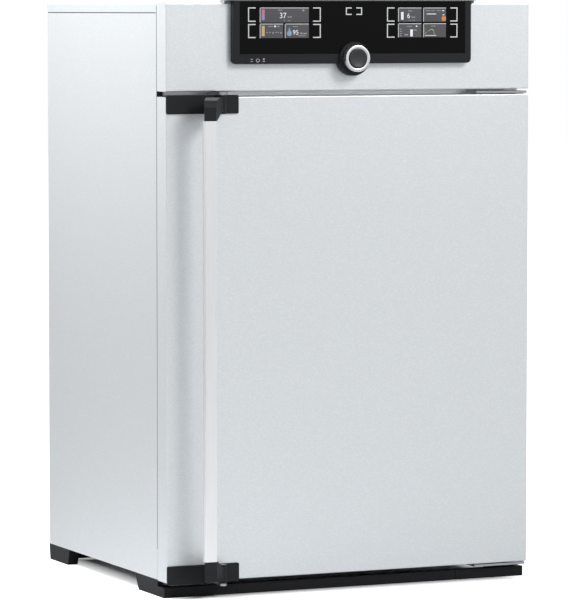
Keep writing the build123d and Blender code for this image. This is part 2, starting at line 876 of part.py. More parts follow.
# Electronics tray: the floor of the compartment above the insulation
compartment_front = case_front + frame_sheet + seam_play
compartment_rear = case_rear - sheet - seam_play
with BuildPart() as electronics_tray:
    with BuildSketch(Plane.XY.offset(tray_z)):
        with Locations((0, (compartment_front + compartment_rear) / 2)):
            Rectangle(pan_width, compartment_rear - compartment_front)
    extrude(amount=tray_lip)
    offset(amount=-frame_sheet, openings=electronics_tray.faces().sort_by(Axis.Z)[-1])

write(electronics_tray, "electronics_tray")

# Control board on four spacers, with its capacitors, transformer and connectors
board_x = board_inset + (board_width - case_width) / 2
board_y = compartment_front + board_setback + board_depth / 2
deck_z = tray_z + frame_sheet
board_top = deck_z + board_spacer_height + board_thickness
with BuildPart() as control_board:
    with BuildSketch(Plane.XY.offset(deck_z)):
        with Locations((board_x, board_y)):
            with GridLocations(
                board_width - 2 * board_spacer_inset, board_depth - 2 * board_spacer_inset, 2, 2
            ):
                Circle(board_spacer_radius)
    extrude(amount=board_spacer_height)
    with BuildSketch(Plane.XY.offset(deck_z + board_spacer_height)):
        with Locations((board_x, board_y)):
            RectangleRounded(board_width, board_depth, board_corner)
    extrude(amount=board_thickness)
    for place, size in ((transformer_place, transformer_size), (connector_place, connector_size)):
        with BuildSketch(Plane.XY.offset(board_top)):
            with Locations((board_x + place[0], board_y + place[1])):
                Rectangle(size[0], size[1])
        extrude(amount=size[2])
    with BuildSketch(Plane.XY.offset(board_top)):
        with Locations((board_x + capacitor_place[0], board_y + capacitor_place[1])):
            with GridLocations(capacitor_pitch, 1, 3, 1):
                Circle(capacitor_radius)
    extrude(amount=capacitor_height)
    with BuildSketch(Plane.XY.offset(board_top)):
        with Locations((board_x + chip_place[0], board_y + chip_place[1])):
            with GridLocations(chip_pitch, 1, 3, 1):
                Rectangle(chip_size[0], chip_size[1])
    extrude(amount=chip_size[2])

write(control_board, "control_board")

# Power supply: a closed metal case with a terminal block on its front
supply_x = board_x + board_width / 2 + device_gap + supply_size[0] / 2
block_y = board_y - (supply_size[1] + supply_block[1]) / 2
with BuildPart() as power_supply:
    with BuildSketch(Plane.XY.offset(deck_z)):
        with Locations((supply_x, board_y)):
            Rectangle(supply_size[0], supply_size[1])
    extrude(amount=supply_size[2])
    fillet(power_supply.edges().filter_by(Axis.Y), radius=supply_round)
    with BuildSketch(Plane.XY.offset(deck_z)):
        with Locations((supply_x, block_y)):
            Rectangle(supply_block[0], supply_block[1])
    extrude(amount=supply_block[2])
    with BuildSketch(Plane.XY.offset(deck_z + supply_size[2])):
        with Locations((supply_x, board_y)):
            with GridLocations(1, supply_vent_pitch, 1, supply_vents):
                SlotOverall(supply_vent_length, supply_vent_width)
    extrude(amount=-supply_vent_depth, mode=Mode.SUBTRACT)

write(power_supply, "power_supply")

# Gas valves: two solenoid valves, each a block, a coil and a stub at either end
valve_x = supply_x + supply_size[0] / 2 + device_gap + (valve_pitch + valve_block[0]) / 2
with BuildPart() as gas_valves:
    with BuildSketch(Plane.XY.offset(deck_z)):
        with Locations((valve_x, board_y)):
            with GridLocations(valve_pitch, 1, 2, 1):
                Rectangle(valve_block[0], valve_block[1])
    extrude(amount=valve_block[2])
    with BuildSketch(Plane.XY.offset(deck_z + valve_block[2])):
        with Locations((valve_x, board_y)):
            with GridLocations(valve_pitch, 1, 2, 1):
                Circle(valve_coil_radius)
    extrude(amount=valve_coil_height)
    with BuildSketch(front_plane(board_y + valve_stub_length / 2)):
        with Locations((valve_x, deck_z + valve_block[2] / 2)):
            with GridLocations(valve_pitch, 1, 2, 1):
                Circle(valve_stub_radius)
    extrude(amount=valve_stub_length)

write(gas_valves, "gas_valves")

# Control fascia: a box sheet open at the back, held off the front frame by four lugs
fascia_mid = (fascia_bottom + case_top) / 2
fascia_height = case_top - fascia_bottom
with BuildPart() as control_fascia:
    with BuildSketch(front_plane(door_face)):
        with Locations((0, fascia_mid)):
            Rectangle(case_width, fascia_height)
    extrude(amount=-door_depth)
    fillet(control_fascia.faces().sort_by(Axis.Y)[0].edges(), radius=bend_radius)
    offset(amount=-sheet, openings=control_fascia.faces().sort_by(Axis.Y)[-1])
    with BuildSketch(front_plane(door_face)):
        with Locations((0, window_bottom + window_height / 2)):
            Rectangle(panel_width - 2 * return_width, window_height, mode=Mode.ADD)
    extrude(amount=-2 * sheet, mode=Mode.SUBTRACT)
    with BuildSketch(front_plane(case_front)):
        with Locations((0, fascia_mid)):
            with GridLocations(case_width - 2 * sheet - lug_width, lug_spacing, 2, 2):
                Rectangle(lug_width, lug_height)
    extrude(amount=door_depth / 2)

write(control_fascia, "control_fascia")

# Control panel housing: a moulded front with a round lobe for the knob and pockets from the front
panel_front = door_face - panel_depth
panel_top = panel_bottom + panel_height
glass_width = panel_width - 2 * bezel_side
glass_height = panel_height - bezel_bottom - bezel_top
glass_bottom = panel_bottom + bezel_bottom
glass_mid = glass_bottom + glass_height / 2
display_centre = glass_width / 2 - display_inset
display_mid = glass_bottom + display_rise
knob_z = panel_bottom + knob_rise
key_x = key_inset - panel_width / 2
key_z = panel_bottom + key_rise
glass_rear = panel_front - glass_proud + panel_glass
key_front = panel_front - glass_proud
with BuildPart() as panel_housing:
    with BuildSketch(front_plane(panel_front)):
        with Locations((0, panel_bottom + panel_height / 2)):
            RectangleRounded(panel_width, panel_height, panel_corner)
        with Locations((0, panel_top - panel_corner)):
            Rectangle(panel_width, 2 * panel_corner)
        with Locations((0, knob_z)):
            Circle(knob_lobe_radius)
    extrude(amount=-panel_depth)
    fillet(panel_housing.faces().sort_by(Axis.Y)[0].edges(), radius=panel_edge_round)
    with BuildSketch(front_plane(door_face)):
        with Locations((0, window_bottom + window_height / 2)):
            Rectangle(panel_width - 2 * return_width - 2 * glass_play, window_height - 2 * glass_play)
    extrude(amount=panel_depth - panel_rear_depth)
    with BuildSketch(front_plane(panel_front)):
        with Locations((0, knob_z)):
            Circle(knob_collar_radius)
    extrude(amount=knob_collar_depth)
    chamfer(panel_housing.faces().sort_by(Axis.Y)[0].edges(), length=collar_bevel)
    with BuildSketch(front_plane(panel_front)):
        with Locations((0, glass_mid)):
            Rectangle(glass_width + 2 * glass_play, glass_height + 2 * glass_play)
        with Locations((0, knob_z)):
            Circle(knob_collar_radius, mode=Mode.SUBTRACT)
    extrude(amount=panel_front - glass_rear, mode=Mode.SUBTRACT)
    with BuildSketch(front_plane(glass_rear)):
        with Locations((0, display_mid)):
            with GridLocations(2 * display_centre, 1, 2, 1):
                Rectangle(display_width + 2 * glass_play, display_height + 2 * glass_play)
    extrude(amount=-display_depth - glass_play, mode=Mode.SUBTRACT)
    with BuildSketch(front_plane(panel_front)):
        with Locations((key_x, key_z)):
            Rectangle(key_width + 2 * key_play, key_height + 2 * key_play)
    extrude(amount=-key_depth - key_travel - 2 * key_play, mode=Mode.SUBTRACT)
    with BuildSketch(front_plane(panel_front - knob_collar_depth)):
        with Locations((0, knob_z)):
            Circle(sleeve_radius + running_clearance)
    extrude(amount=-knob_collar_depth - panel_depth, mode=Mode.SUBTRACT)
    with BuildSketch(front_plane(door_face)):
        with Locations((0, knob_z)):
            Rectangle(encoder_size + 2 * key_play, encoder_size + 2 * key_play)
    extrude(amount=encoder_depth + key_play, mode=Mode.SUBTRACT)

write(panel_housing, "panel_housing")

# Panel glass: one pane over both displays, cut away round the knob
with BuildPart() as panel_glass_pane:
    with BuildSketch(front_plane(glass_rear)):
        with Locations((0, glass_mid)):
            RectangleRounded(glass_width, glass_height, glass_corner)
        with Locations((0, knob_z)):
            Circle(knob_collar_radius + glass_play, mode=Mode.SUBTRACT)
    extrude(amount=panel_glass)
    chamfer(panel_glass_pane.faces().sort_by(Axis.Y)[0].edges(), length=glass_chamfer)

write(panel_glass_pane, "panel_glass")

# Displays: two flat modules in the pockets behind the glass
with BuildPart() as displays:
    with BuildSketch(front_plane(glass_rear)):
        with Locations((0, display_mid)):
            with GridLocations(2 * display_centre, 1, 2, 1):
                Rectangle(display_width, display_height)
    extrude(amount=-display_depth)

write(displays, "displays")

# Panel hood: the cap over the top edge of the housing and the front of the casing
hood_top = panel_top + hood_thickness
with BuildPart() as panel_hood:
    with BuildSketch(Plane.XY.offset(case_top)):
        with Locations((0, door_face + (hood_rear - panel_depth - glass_proud) / 2)):
            RectangleRounded(
                panel_width + 2 * hood_overhang, hood_rear + panel_depth + glass_proud, hood_corner
            )
    extrude(amount=hood_top - case_top)
    fillet(panel_hood.faces().sort_by(Axis.Z)[-1].edges(), radius=hood_edge_round)
    with BuildSketch(Plane.XY.offset(case_top)):
        with Locations((0, door_face - panel_depth)):
            Rectangle(panel_width + 4 * hood_overhang, 2 * panel_depth)
    extrude(amount=panel_top - case_top, mode=Mode.SUBTRACT)

write(panel_hood, "panel_hood")

# Knob: encoder behind the housing, aluminium ring that turns on its sleeve, cap that is pushed
collar_front = panel_front - knob_collar_depth
ring_rear = collar_front - ring_play
ring_front = ring_rear - ring_depth
with BuildPart() as knob_encoder:
    with BuildSketch(front_plane(door_face)):
        with Locations((0, knob_z)):
            Rectangle(encoder_size, encoder_size)
    extrude(amount=encoder_depth)
    with BuildSketch(front_plane(door_face)):
        with Locations((0, knob_z)):
            Circle(sleeve_radius)
    extrude(amount=door_face - ring_rear + ring_web)
    with BuildSketch(front_plane(ring_rear - ring_web)):
        with Locations((0, knob_z)):
            Circle(stem_radius + running_clearance)
    extrude(amount=ring_rear - ring_web - door_face + sheet, mode=Mode.SUBTRACT)

write(knob_encoder, "knob_encoder")

with BuildPart() as selector_ring:
    with BuildSketch(front_plane(ring_rear)):
        with Locations((0, knob_z)):
            Circle(ring_radius)
            Circle(sleeve_radius + running_clearance, mode=Mode.SUBTRACT)
    extrude(amount=ring_web)
    with BuildSketch(front_plane(ring_rear - ring_web)):
        with Locations((0, knob_z)):
            Circle(ring_radius)
            Circle(ring_bore, mode=Mode.SUBTRACT)
    extrude(amount=ring_depth - ring_web)
    chamfer(selector_ring.faces().sort_by(Axis.Y)[0].edges(), length=ring_bevel)

write(selector_ring, "selector_ring")

with BuildPart() as confirm_button:
    with BuildSketch(front_plane(ring_front - cap_proud + cap_depth)):
        with Locations((0, knob_z)):
            Circle(ring_bore - cap_play)
    extrude(amount=cap_depth)
    chamfer(confirm_button.faces().sort_by(Axis.Y)[0].edges(), length=ring_bevel)
    with BuildSketch(front_plane(ring_front - cap_proud + cap_depth)):
        with Locations((0, knob_z)):
            Circle(stem_radius)
    extrude(amount=ring_front - cap_proud + cap_depth + sheet + key_travel + key_play - door_face)

write(confirm_button, "confirm_button")

# Power key: a flat key with rounded corners that presses into its pocket
with BuildPart() as power_key:
    with BuildSketch(front_plane(key_front)):
        with Locations((key_x, key_z)):
            RectangleRounded(key_width, key_height, key_corner)
    extrude(amount=-key_depth)
    fillet(power_key.faces().sort_by(Axis.Y)[0].edges(), radius=key_edge_round)

write(power_key, "power_key")

# Door shell: a deep pan with a lip at the back, its hinge side rounded to clear the casing
lip_inner = case_width - 2 * door_lip
with BuildPart() as door_shell:
    with BuildSketch(front_plane(door_face)):
        with Locations((0, door_mid)):
            Rectangle(case_width, door_height)
    extrude(amount=-door_depth)
    hinge_corner = door_shell.faces().sort_by(Axis.Y)[-1].edges().sort_by(Axis.X)[-1]
    fillet(hinge_corner, radius=door_hinge_round)
    fillet(door_shell.faces().sort_by(Axis.Y)[0].edges(), radius=bend_radius)
    with BuildSketch(front_plane(door_face + sheet)):
        with Locations((0, door_mid)):
            Rectangle(case_width - 2 * sheet, door_height - 2 * sheet)
    extrude(amount=2 * sheet - door_depth + door_hinge_round - bend_radius, mode=Mode.SUBTRACT)
    with BuildSketch(front_plane(door_face + sheet)):
        with Locations((0, door_mid)):
            Rectangle(lip_inner, door_height - 2 * sheet)
    extrude(amount=2 * sheet - door_depth, mode=Mode.SUBTRACT)
    with BuildSketch(front_plane(door_rear)):
        with Locations((0, door_mid)):
            Rectangle(lip_inner, door_height - 2 * door_lip)
    extrude(amount=2 * sheet, mode=Mode.SUBTRACT)
    with BuildSketch(Plane.XY.offset(door_bottom)):
        with Locations((hinge_x, hinge_y)):
            Circle(bush_radius + seam_play)
    extrude(amount=door_height, mode=Mode.SUBTRACT)

write(door_shell, "door_shell")

# Inner panel of the door: a flat sheet in the lip with an embossed field towards the glass door
door_emboss_width = recess_width - 2 * door_emboss_play
door_emboss_height = recess_height - 2 * door_emboss_play
with BuildPart() as door_inner_panel:
    with BuildSketch(front_plane(door_rear)):
        with Locations((0, door_mid)):
            Rectangle(lip_inner - 2 * seam_play, door_height - 2 * (door_lip + seam_play))
    extrude(amount=sheet)
    with BuildSketch(front_plane(door_rear)):
        with Locations((0, door_mid)):
            RectangleRounded(door_emboss_width, door_emboss_height, recess_corner)
    extrude(amount=-door_emboss, taper=door_emboss_taper)
    with BuildSketch(front_plane(door_rear - sheet)):
        with Locations((0, door_mid)):
            RectangleRounded(
                door_emboss_width - 2 * sheet, door_emboss_height - 2 * sheet, recess_corner - sheet
            )
    extrude(amount=-door_emboss, taper=door_emboss_taper, mode=Mode.SUBTRACT)

write(door_inner_panel, "door_inner_panel")

# Door insulation: one board in the shell with room for the hinge bushes
board_front = door_face + sheet + seam_play
board_rear = door_rear - sheet - seam_play
bush_length = hinge_pin_reach + bush_flange
with BuildPart() as door_insulation:
    with BuildSketch(front_plane(board_front)):
        with Locations((0, door_mid)):
            Rectangle(lip_inner - 2 * seam_play, door_height - 2 * (sheet + seam_play))
    extrude(amount=board_front - board_rear)
    for edge, direction in ((door_bottom, 1), (door_top, -1)):
        with BuildSketch(Plane.XY.offset(edge)):
            with Locations((hinge_x, hinge_y)):
                Circle(bush_radius + 2 * seam_play)
        extrude(amount=direction * (bush_length + seam_play), mode=Mode.SUBTRACT)

write(door_insulation, "door_insulation")

# Door gasket: a flat silicone ring on the inner panel, just clear of the frame
with BuildPart() as door_gasket:
    with BuildSketch(front_plane(door_rear)):
        with Locations((0, door_mid)):
            RectangleRounded(
                recess_width + 2 * (gasket_surround + gasket_width),
                recess_height + 2 * (gasket_surround + gasket_width),
                recess_corner + gasket_surround + gasket_width,
            )
            RectangleRounded(
                recess_width + 2 * gasket_surround,
                recess_height + 2 * gasket_surround,
                recess_corner + gasket_surround,
                mode=Mode.SUBTRACT,
            )
    extrude(amount=-gasket_thickness)

write(door_gasket, "door_gasket")

# Door hinges: flanged bushes in the door, plates on the front frame and the pins between them
upper_plate_z = door_top + bush_flange + hinge_play
lower_plate_z = door_bottom - bush_flange - hinge_play
with BuildPart() as door_bushes:
    for edge, direction in ((door_bottom, -1), (door_top, 1)):
        with BuildSketch(Plane.XY.offset(edge)):
            with Locations((hinge_x, hinge_y)):
                Circle(bush_flange_radius)
        extrude(amount=direction * bush_flange)
        with BuildSketch(Plane.XY.offset(edge)):
            with Locations((hinge_x, hinge_y)):
                Circle(bush_radius)
        extrude(amount=-direction * bush_length)
        with BuildSketch(Plane.XY.offset(edge + direction * bush_flange)):
            with Locations((hinge_x, hinge_y)):
                Circle(hinge_pin_radius + running_clearance)
        extrude(amount=-direction * (bush_flange + bush_length - sheet), mode=Mode.SUBTRACT)

write(door_bushes, "door_bushes")

plate_left = case_width / 2 - hinge_plate_width
plate_front = hinge_y - bush_flange_radius + hinge_play
leg_right = hinge_x - hinge_leg_inset
gasket_bottom = door_mid - recess_height / 2 - gasket_surround - gasket_width
upper_leg_top = upper_plate_z + hinge_plate + hinge_leg_rise
lower_leg_top = gasket_bottom - 2 * seam_play
with BuildPart() as door_hinge_plates:
    for level, direction, leg_top in (
        (lower_plate_z, -1, lower_leg_top),
        (upper_plate_z, 1, upper_leg_top),
    ):
        with BuildSketch(Plane.XY.offset(level)):
            with Locations(((plate_left + case_width / 2) / 2, (plate_front + case_front) / 2)):
                Rectangle(hinge_plate_width, case_front - plate_front)
        extrude(amount=direction * hinge_plate)
        plate_corners = door_hinge_plates.edges(Select.LAST).filter_by(Axis.Z).group_by(Axis.Y)[0]
        fillet(plate_corners, radius=bush_flange_radius / 2)
        with BuildSketch(Plane.XY.offset(level)):
            with Locations(((plate_left + leg_right) / 2, case_front - hinge_leg / 2)):
                Rectangle(leg_right - plate_left, hinge_leg)
        extrude(amount=leg_top - level)
        with BuildSketch(Plane.XY.offset(level)):
            with Locations((hinge_x, hinge_y)):
                Circle(hinge_pin_radius - hinge_pin_neck)
        extrude(amount=direction * hinge_plate, mode=Mode.SUBTRACT)

write(door_hinge_plates, "door_hinge_plates")

with BuildPart() as hinge_pins:
    for level, direction in ((lower_plate_z, 1), (upper_plate_z, -1)):
        with BuildSketch(Plane.XY.offset(level)):
            with Locations((hinge_x, hinge_y)):
                Circle(hinge_pin_radius)
        extrude(amount=direction * (bush_flange + hinge_play + hinge_pin_reach - 2 * sheet))
        with BuildSketch(Plane.XY.offset(level)):
            with Locations((hinge_x, hinge_y)):
                Circle(hinge_pin_radius - hinge_pin_neck - running_clearance / 2)
        extrude(amount=-direction * hinge_plate)

write(hinge_pins, "hinge_pins")

# Handle brackets: a plate that hooks over the door's end, with two ears for the spindle
ear_y = door_face - spindle_reach
bracket_left = -case_width / 2
bracket_mid = bracket_left + bracket_width / 2
with BuildPart() as upper_handle_bracket:
    with BuildSketch(front_plane(door_face)):
        with Locations((bracket_mid, door_top + bracket_wrap - (bracket_height + bracket_wrap) / 2)):
            RectangleRounded(bracket_width, bracket_height + bracket_wrap, bracket_corner)
    extrude(amount=bracket_plate)
    fillet(upper_handle_bracket.faces().sort_by(Axis.Y)[0].edges(), radius=bracket_edge_round)
    with BuildSketch(Plane.XY.offset(door_top)):
        with Locations((bracket_mid, door_face + bracket_wrap_depth / 2)):
            Rectangle(bracket_width, bracket_wrap_depth)
    extrude(amount=bracket_wrap)
    for level in (door_top + bracket_wrap - bracket_ear, door_top - bracket_height):
        with BuildSketch(Plane.XY.offset(level)):
            with Locations((spindle_x, ear_y)):
                Circle(knuckle_radius)
            with Locations((spindle_x, (ear_y + door_face) / 2)):
                Rectangle(2 * knuckle_radius, spindle_reach)
            with Locations((spindle_x, ear_y)):
                Circle(spindle_radius + running_clearance, mode=Mode.SUBTRACT)
        extrude(amount=bracket_ear)

with BuildPart() as lower_handle_bracket:
    mirror(upper_handle_bracket.part, about=Plane.XY.offset(door_mid))

write(upper_handle_bracket, "upper_handle_bracket")
write(lower_handle_bracket, "lower_handle_bracket")

# Handle levers: a knuckle between the ears, an arm out to the bar, faceted where it turns upwards
bar_front = door_face - handle_reach
bar_rear = bar_front + bar_depth
bar_top = door_top - bar_end_inset
bar_bottom = door_bottom + bar_end_inset
bar_left = bar_inset - case_width / 2
bar_right = bar_left + bar_width
knuckle_bottom = door_top - bracket_height + bracket_ear + ear_play
knuckle_top = door_top + bracket_wrap - bracket_ear - ear_play
elbow_front = bar_top + elbow_rise_front
elbow_rear = bar_top + elbow_rise_rear


def lever_section(y, left, right, low, high):
    """One upright rectangle of the lever's arm, at depth y."""
    with BuildSketch(front_plane(y)) as section:
        with Locations(((left + right) / 2, (low + high) / 2)):
            Rectangle(right - left, high - low)
    return section.sketch


arm_root = ear_y - knuckle_radius * cos(radians(45))
arm_top = door_top - lever_top_play
arm_sections = [
    lever_section(bar_front, bar_left, bar_right, bar_top, elbow_front),
    lever_section(
        bar_rear - lever_lap, bar_left + lever_taper[0], bar_right + lever_taper[1], bar_top, elbow_rear
    ),
    lever_section(
        arm_root - lever_neck,
        bar_left + lever_sweep[0],
        bar_right + lever_sweep[1],
        knuckle_bottom - lever_drop,
        arm_top,
    ),
    lever_section(
        arm_root + lever_lap,
        spindle_x - lever_root[0],
        spindle_x + lever_root[1],
        knuckle_bottom,
        knuckle_top,
    ),
]
with BuildPart() as upper_handle_lever:
    loft(arm_sections, ruled=True)
    with BuildSketch(Plane.XY.offset(knuckle_bottom)):
        with Locations((spindle_x, ear_y)):
            Circle(knuckle_radius)
    extrude(amount=knuckle_top - knuckle_bottom)
    with BuildSketch(Plane.XY.offset(knuckle_bottom)):
        with Locations((spindle_x, ear_y)):
            Circle(spindle_radius + running_clearance)
    extrude(amount=knuckle_top - knuckle_bottom, mode=Mode.SUBTRACT)
    for level, direction in ((knuckle_top, 1), (knuckle_bottom, -1)):
        with BuildSketch(Plane.XY.offset(level)):
            with Locations((spindle_x, ear_y)):
                Circle(knuckle_radius + ear_play)
        extrude(amount=direction * bracket_height, mode=Mode.SUBTRACT)

with BuildPart() as lower_handle_lever:
    mirror(upper_handle_lever.part, about=Plane.XY.offset(door_mid))

write(upper_handle_lever, "upper_handle_lever")
write(lower_handle_lever, "lower_handle_lever")

# Handle bar: an extruded aluminium profile, bevelled on its left front edge
with BuildPart() as handle_bar:
    with BuildSketch(Plane.XY.offset(bar_bottom)):
        with BuildLine():
            Polyline(
                (bar_left + bar_chamfer / 2, bar_front),
                (bar_right, bar_front),
                (bar_right, bar_rear),
                (bar_left, bar_rear),
                (bar_left, bar_front + bar_chamfer),
                close=True,
            )
        make_face()
    extrude(amount=bar_top - bar_bottom)
    fillet(handle_bar.edges().filter_by(Axis.Z).group_by(Axis.Y)[-1], radius=bar_round)

write(handle_bar, "handle_bar")

# Spindles: a pin through each knuckle, long enough to carry the latch arm outside the bracket
arm_bottom = door_top + bracket_wrap + latch_arm_play
with BuildPart() as handle_spindles:
    with BuildSketch(Plane.XY.offset(door_top - bracket_height)):
        with Locations((spindle_x, ear_y)):
            Circle(spindle_radius)
    extrude(amount=arm_bottom + latch_arm - door_top + bracket_height)
    mirror(about=Plane.XY.offset(door_mid))

write(handle_spindles, "handle_spindles")

# Latch arms: bars that reach over and under the door, with a claw beside the strike
claw_rear = case_front - latch_claw_play
claw_right = spindle_x + latch_arm_width / 2 + latch_claw
with BuildPart() as latch_arms:
    with BuildSketch(Plane.XY.offset(arm_bottom)):
        with Locations((spindle_x, (ear_y + claw_rear) / 2)):
            Rectangle(latch_arm_width, claw_rear - ear_y)
        with Locations((spindle_x, ear_y)):
            Circle(knuckle_radius)
        with Locations(((spindle_x + claw_right) / 2, claw_rear - latch_claw / 2)):
            Rectangle(claw_right - spindle_x, latch_claw)
        with Locations((spindle_x, ear_y)):
            Circle(spindle_radius + running_clearance / 2, mode=Mode.SUBTRACT)
    extrude(amount=latch_arm)
    mirror(about=Plane.XY.offset(door_mid))

write(latch_arms, "latch_arms")

# Strikes: one on the front frame above the door and one under the base pan below it
strike_left = claw_right + latch_clearance
strike_low = arm_bottom - latch_arm_play
with BuildPart() as door_strikes:
    with BuildSketch(Plane.XY.offset(strike_low)):
        with Locations((strike_left + strike_width / 2, case_front - strike_depth / 2)):
            Rectangle(strike_width, strike_depth)
    extrude(amount=strike_height)
    with BuildSketch(front_plane(case_front)):
        with Locations((strike_left + strike_flange / 2, strike_low + strike_height / 2)):
            Rectangle(strike_flange, strike_height)
    extrude(amount=hinge_leg)
    lower_strike_top = door_bottom + door_top - strike_low
    with BuildSketch(Plane.XY.offset(lower_strike_top)):
        with Locations((strike_left + strike_width / 2, case_front)):
            Rectangle(strike_width, 2 * strike_depth)
    extrude(amount=-strike_height)
    with BuildSketch(Plane.XY.offset(lower_strike_top)):
        with Locations((strike_left + strike_width / 2, case_front + strike_depth / 2)):
            Rectangle(strike_width, strike_depth)
    extrude(amount=case_bottom - lower_strike_top)
    with BuildSketch(Plane.XY.offset(case_bottom)):
        with Locations((strike_left + strike_width / 2, case_front + strike_depth)):
            Rectangle(strike_flange, 2 * strike_depth)
    extrude(amount=-hinge_leg)

write(door_strikes, "door_strikes")

# Front feet: an L in plan, low under the door, high under the casing, tapered at the rear
foot_left = foot_inset - case_width / 2
plinth_seam_x = case_width / 2 - foot_inset - front_foot_width
plinth_front = door_face + plinth_setback
foot_rear = door_face + front_foot_rear
with BuildPart() as front_feet:
    with BuildSketch(Plane.YZ.offset(foot_left)):
        Polygon(
            (plinth_front, 0),
            (foot_rear - foot_taper, 0),
            (foot_rear, case_bottom),
            (case_front + seam_play, case_bottom),
            (case_front + seam_play, plinth_height),
            (plinth_front, plinth_height),
            align=None,
        )
    extrude(amount=foot_leg)
    with BuildSketch(Plane.XY):
        with Locations(((foot_left - plinth_seam_x) / 2, plinth_front + plinth_thickness / 2)):
            Rectangle(-plinth_seam_x - foot_left, plinth_thickness)
    extrude(amount=plinth_height)
    with BuildSketch(Plane.XY.offset(case_bottom)):
        with BuildLine():
            Polyline(
                (foot_left, case_front + seam_play),
                (strike_left - strike_width - latch_clearance, case_front + seam_play),
                (foot_left + 2 * foot_leg, foot_rear - foot_taper),
                (foot_left, foot_rear - foot_taper),
                close=True,
            )
        make_face()
    extrude(amount=-foot_flange)
    outer_corner = front_feet.edges().filter_by(Axis.Z).group_by(Axis.X)[0].group_by(Axis.Y)[0]
    fillet(outer_corner, radius=bend_radius)
    mirror(about=Plane.YZ)

write(front_feet, "front_feet")

# Plinth: the bar between the front feet, with a backing strip that laps behind them
plinth_width = 2 * (plinth_seam_x - plinth_seam)
with BuildPart() as front_plinth:
    with BuildSketch(Plane.XY):
        with Locations((0, plinth_front + plinth_thickness / 2)):
            Rectangle(plinth_width, plinth_thickness)
        with Locations((0, plinth_front + plinth_thickness + foot_flange / 2)):
            Rectangle(plinth_width + 2 * foot_leg, foot_flange)
    extrude(amount=plinth_height - bend_radius)
    with BuildSketch(Plane.XY):
        with Locations((0, plinth_front + plinth_thickness / 2)):
            Rectangle(plinth_width, plinth_thickness)
    extrude(amount=plinth_height)

write(front_plinth, "front_plinth")

# Rear feet: a narrow side leg with slanted ends and a leg along the back
rear_foot_back = case_rear + rear_foot_overhang
rear_foot_y = rear_foot_back - rear_foot_length
with BuildPart() as rear_feet:
    with BuildSketch(Plane.YZ.offset(foot_left)):
        Polygon(
            (rear_foot_y + rear_foot_taper, 0),
            (rear_foot_back - rear_foot_taper / 2, 0),
            (rear_foot_back, case_bottom),
            (rear_foot_y, case_bottom),
            align=None,
        )
    extrude(amount=foot_leg)
    with BuildSketch(Plane.YZ.offset(foot_left)):
        Polygon(
            (rear_foot_back - foot_leg, 0),
            (rear_foot_back - rear_foot_taper / 2, 0),
            (rear_foot_back, case_bottom),
            (rear_foot_back - foot_leg, case_bottom),
            align=None,
        )
    extrude(amount=rear_leg_width)
    with BuildSketch(Plane.XY.offset(case_bottom)):
        with BuildLine():
            Polyline(
                (foot_left, rear_foot_y),
                (foot_left + 2 * foot_leg, rear_foot_y),
                (foot_left + rear_leg_width, rear_foot_back - foot_leg),
                (foot_left + rear_leg_width, case_rear),
                (foot_left, case_rear),
                close=True,
            )
        make_face()
    extrude(amount=-foot_flange)
    mirror(about=Plane.YZ)

write(rear_feet, "rear_feet")

# Back panel: a sheet between the side panels' returns with vents and an opening for the connections
back_width = case_width - 2 * (return_width + seam_play)
back_top = seam_z - seam_play
pocket_x = case_width / 2 - pocket_inset
pocket_z = tray_z + pocket_rise
vent_x = vent_inset - case_width / 2
with BuildPart() as back_panel:
    with BuildSketch(front_plane(case_rear)):
        with Locations((0, (case_bottom + back_top) / 2)):
            Rectangle(back_width, back_top - case_bottom)
        with Locations((pocket_x, pocket_z)):
            RectangleRounded(pocket_width, pocket_height, pocket_corner, mode=Mode.SUBTRACT)
        with Locations((vent_x, pocket_z)):
            with GridLocations(vent_spacing, vent_pitch, 2, vent_rows):
                Rectangle(vent_length, vent_width, mode=Mode.SUBTRACT)
    extrude(amount=sheet)

write(back_panel, "back_panel")

# Connection box: a drawn pocket with a flange against the inside of the back panel
pocket_mouth = case_rear - sheet
pocket_floor = case_rear - pocket_depth
nozzle_x = [pocket_x + place for place in nozzle_places]
fuse_x = [pocket_x + place for place in fuse_places]
inlet_x = pocket_x + inlet_place
inlet_body_width = inlet_width - 2 * inlet_side_lap
inlet_body_height = inlet_height - 2 * inlet_end_lap
with BuildPart() as connection_box:
    with BuildSketch(front_plane(pocket_mouth)):
        with Locations((pocket_x, pocket_z)):
            RectangleRounded(
                pocket_width + 2 * pocket_lap, pocket_height + 2 * pocket_lap, pocket_corner + pocket_lap
            )
            RectangleRounded(pocket_width, pocket_height, pocket_corner, mode=Mode.SUBTRACT)
    extrude(amount=sheet)
    with BuildSketch(front_plane(pocket_mouth)):
        with Locations((pocket_x, pocket_z)):
            RectangleRounded(pocket_width + 2 * sheet, pocket_height + 2 * sheet, pocket_corner + sheet)
            RectangleRounded(pocket_width, pocket_height, pocket_corner, mode=Mode.SUBTRACT)
    extrude(amount=pocket_mouth - pocket_floor)
    with BuildSketch(front_plane(pocket_floor)):
        with Locations((pocket_x, pocket_z)):
            RectangleRounded(pocket_width + 2 * sheet, pocket_height + 2 * sheet, pocket_corner + sheet)
        with Locations((inlet_x, pocket_z)):
            Rectangle(inlet_body_width, inlet_body_height, mode=Mode.SUBTRACT)
        with Locations(*[(x, pocket_z) for x in nozzle_x + fuse_x]):
            Circle(screw_body_radius + seam_play, mode=Mode.SUBTRACT)
    extrude(amount=sheet)

write(connection_box, "connection_box")

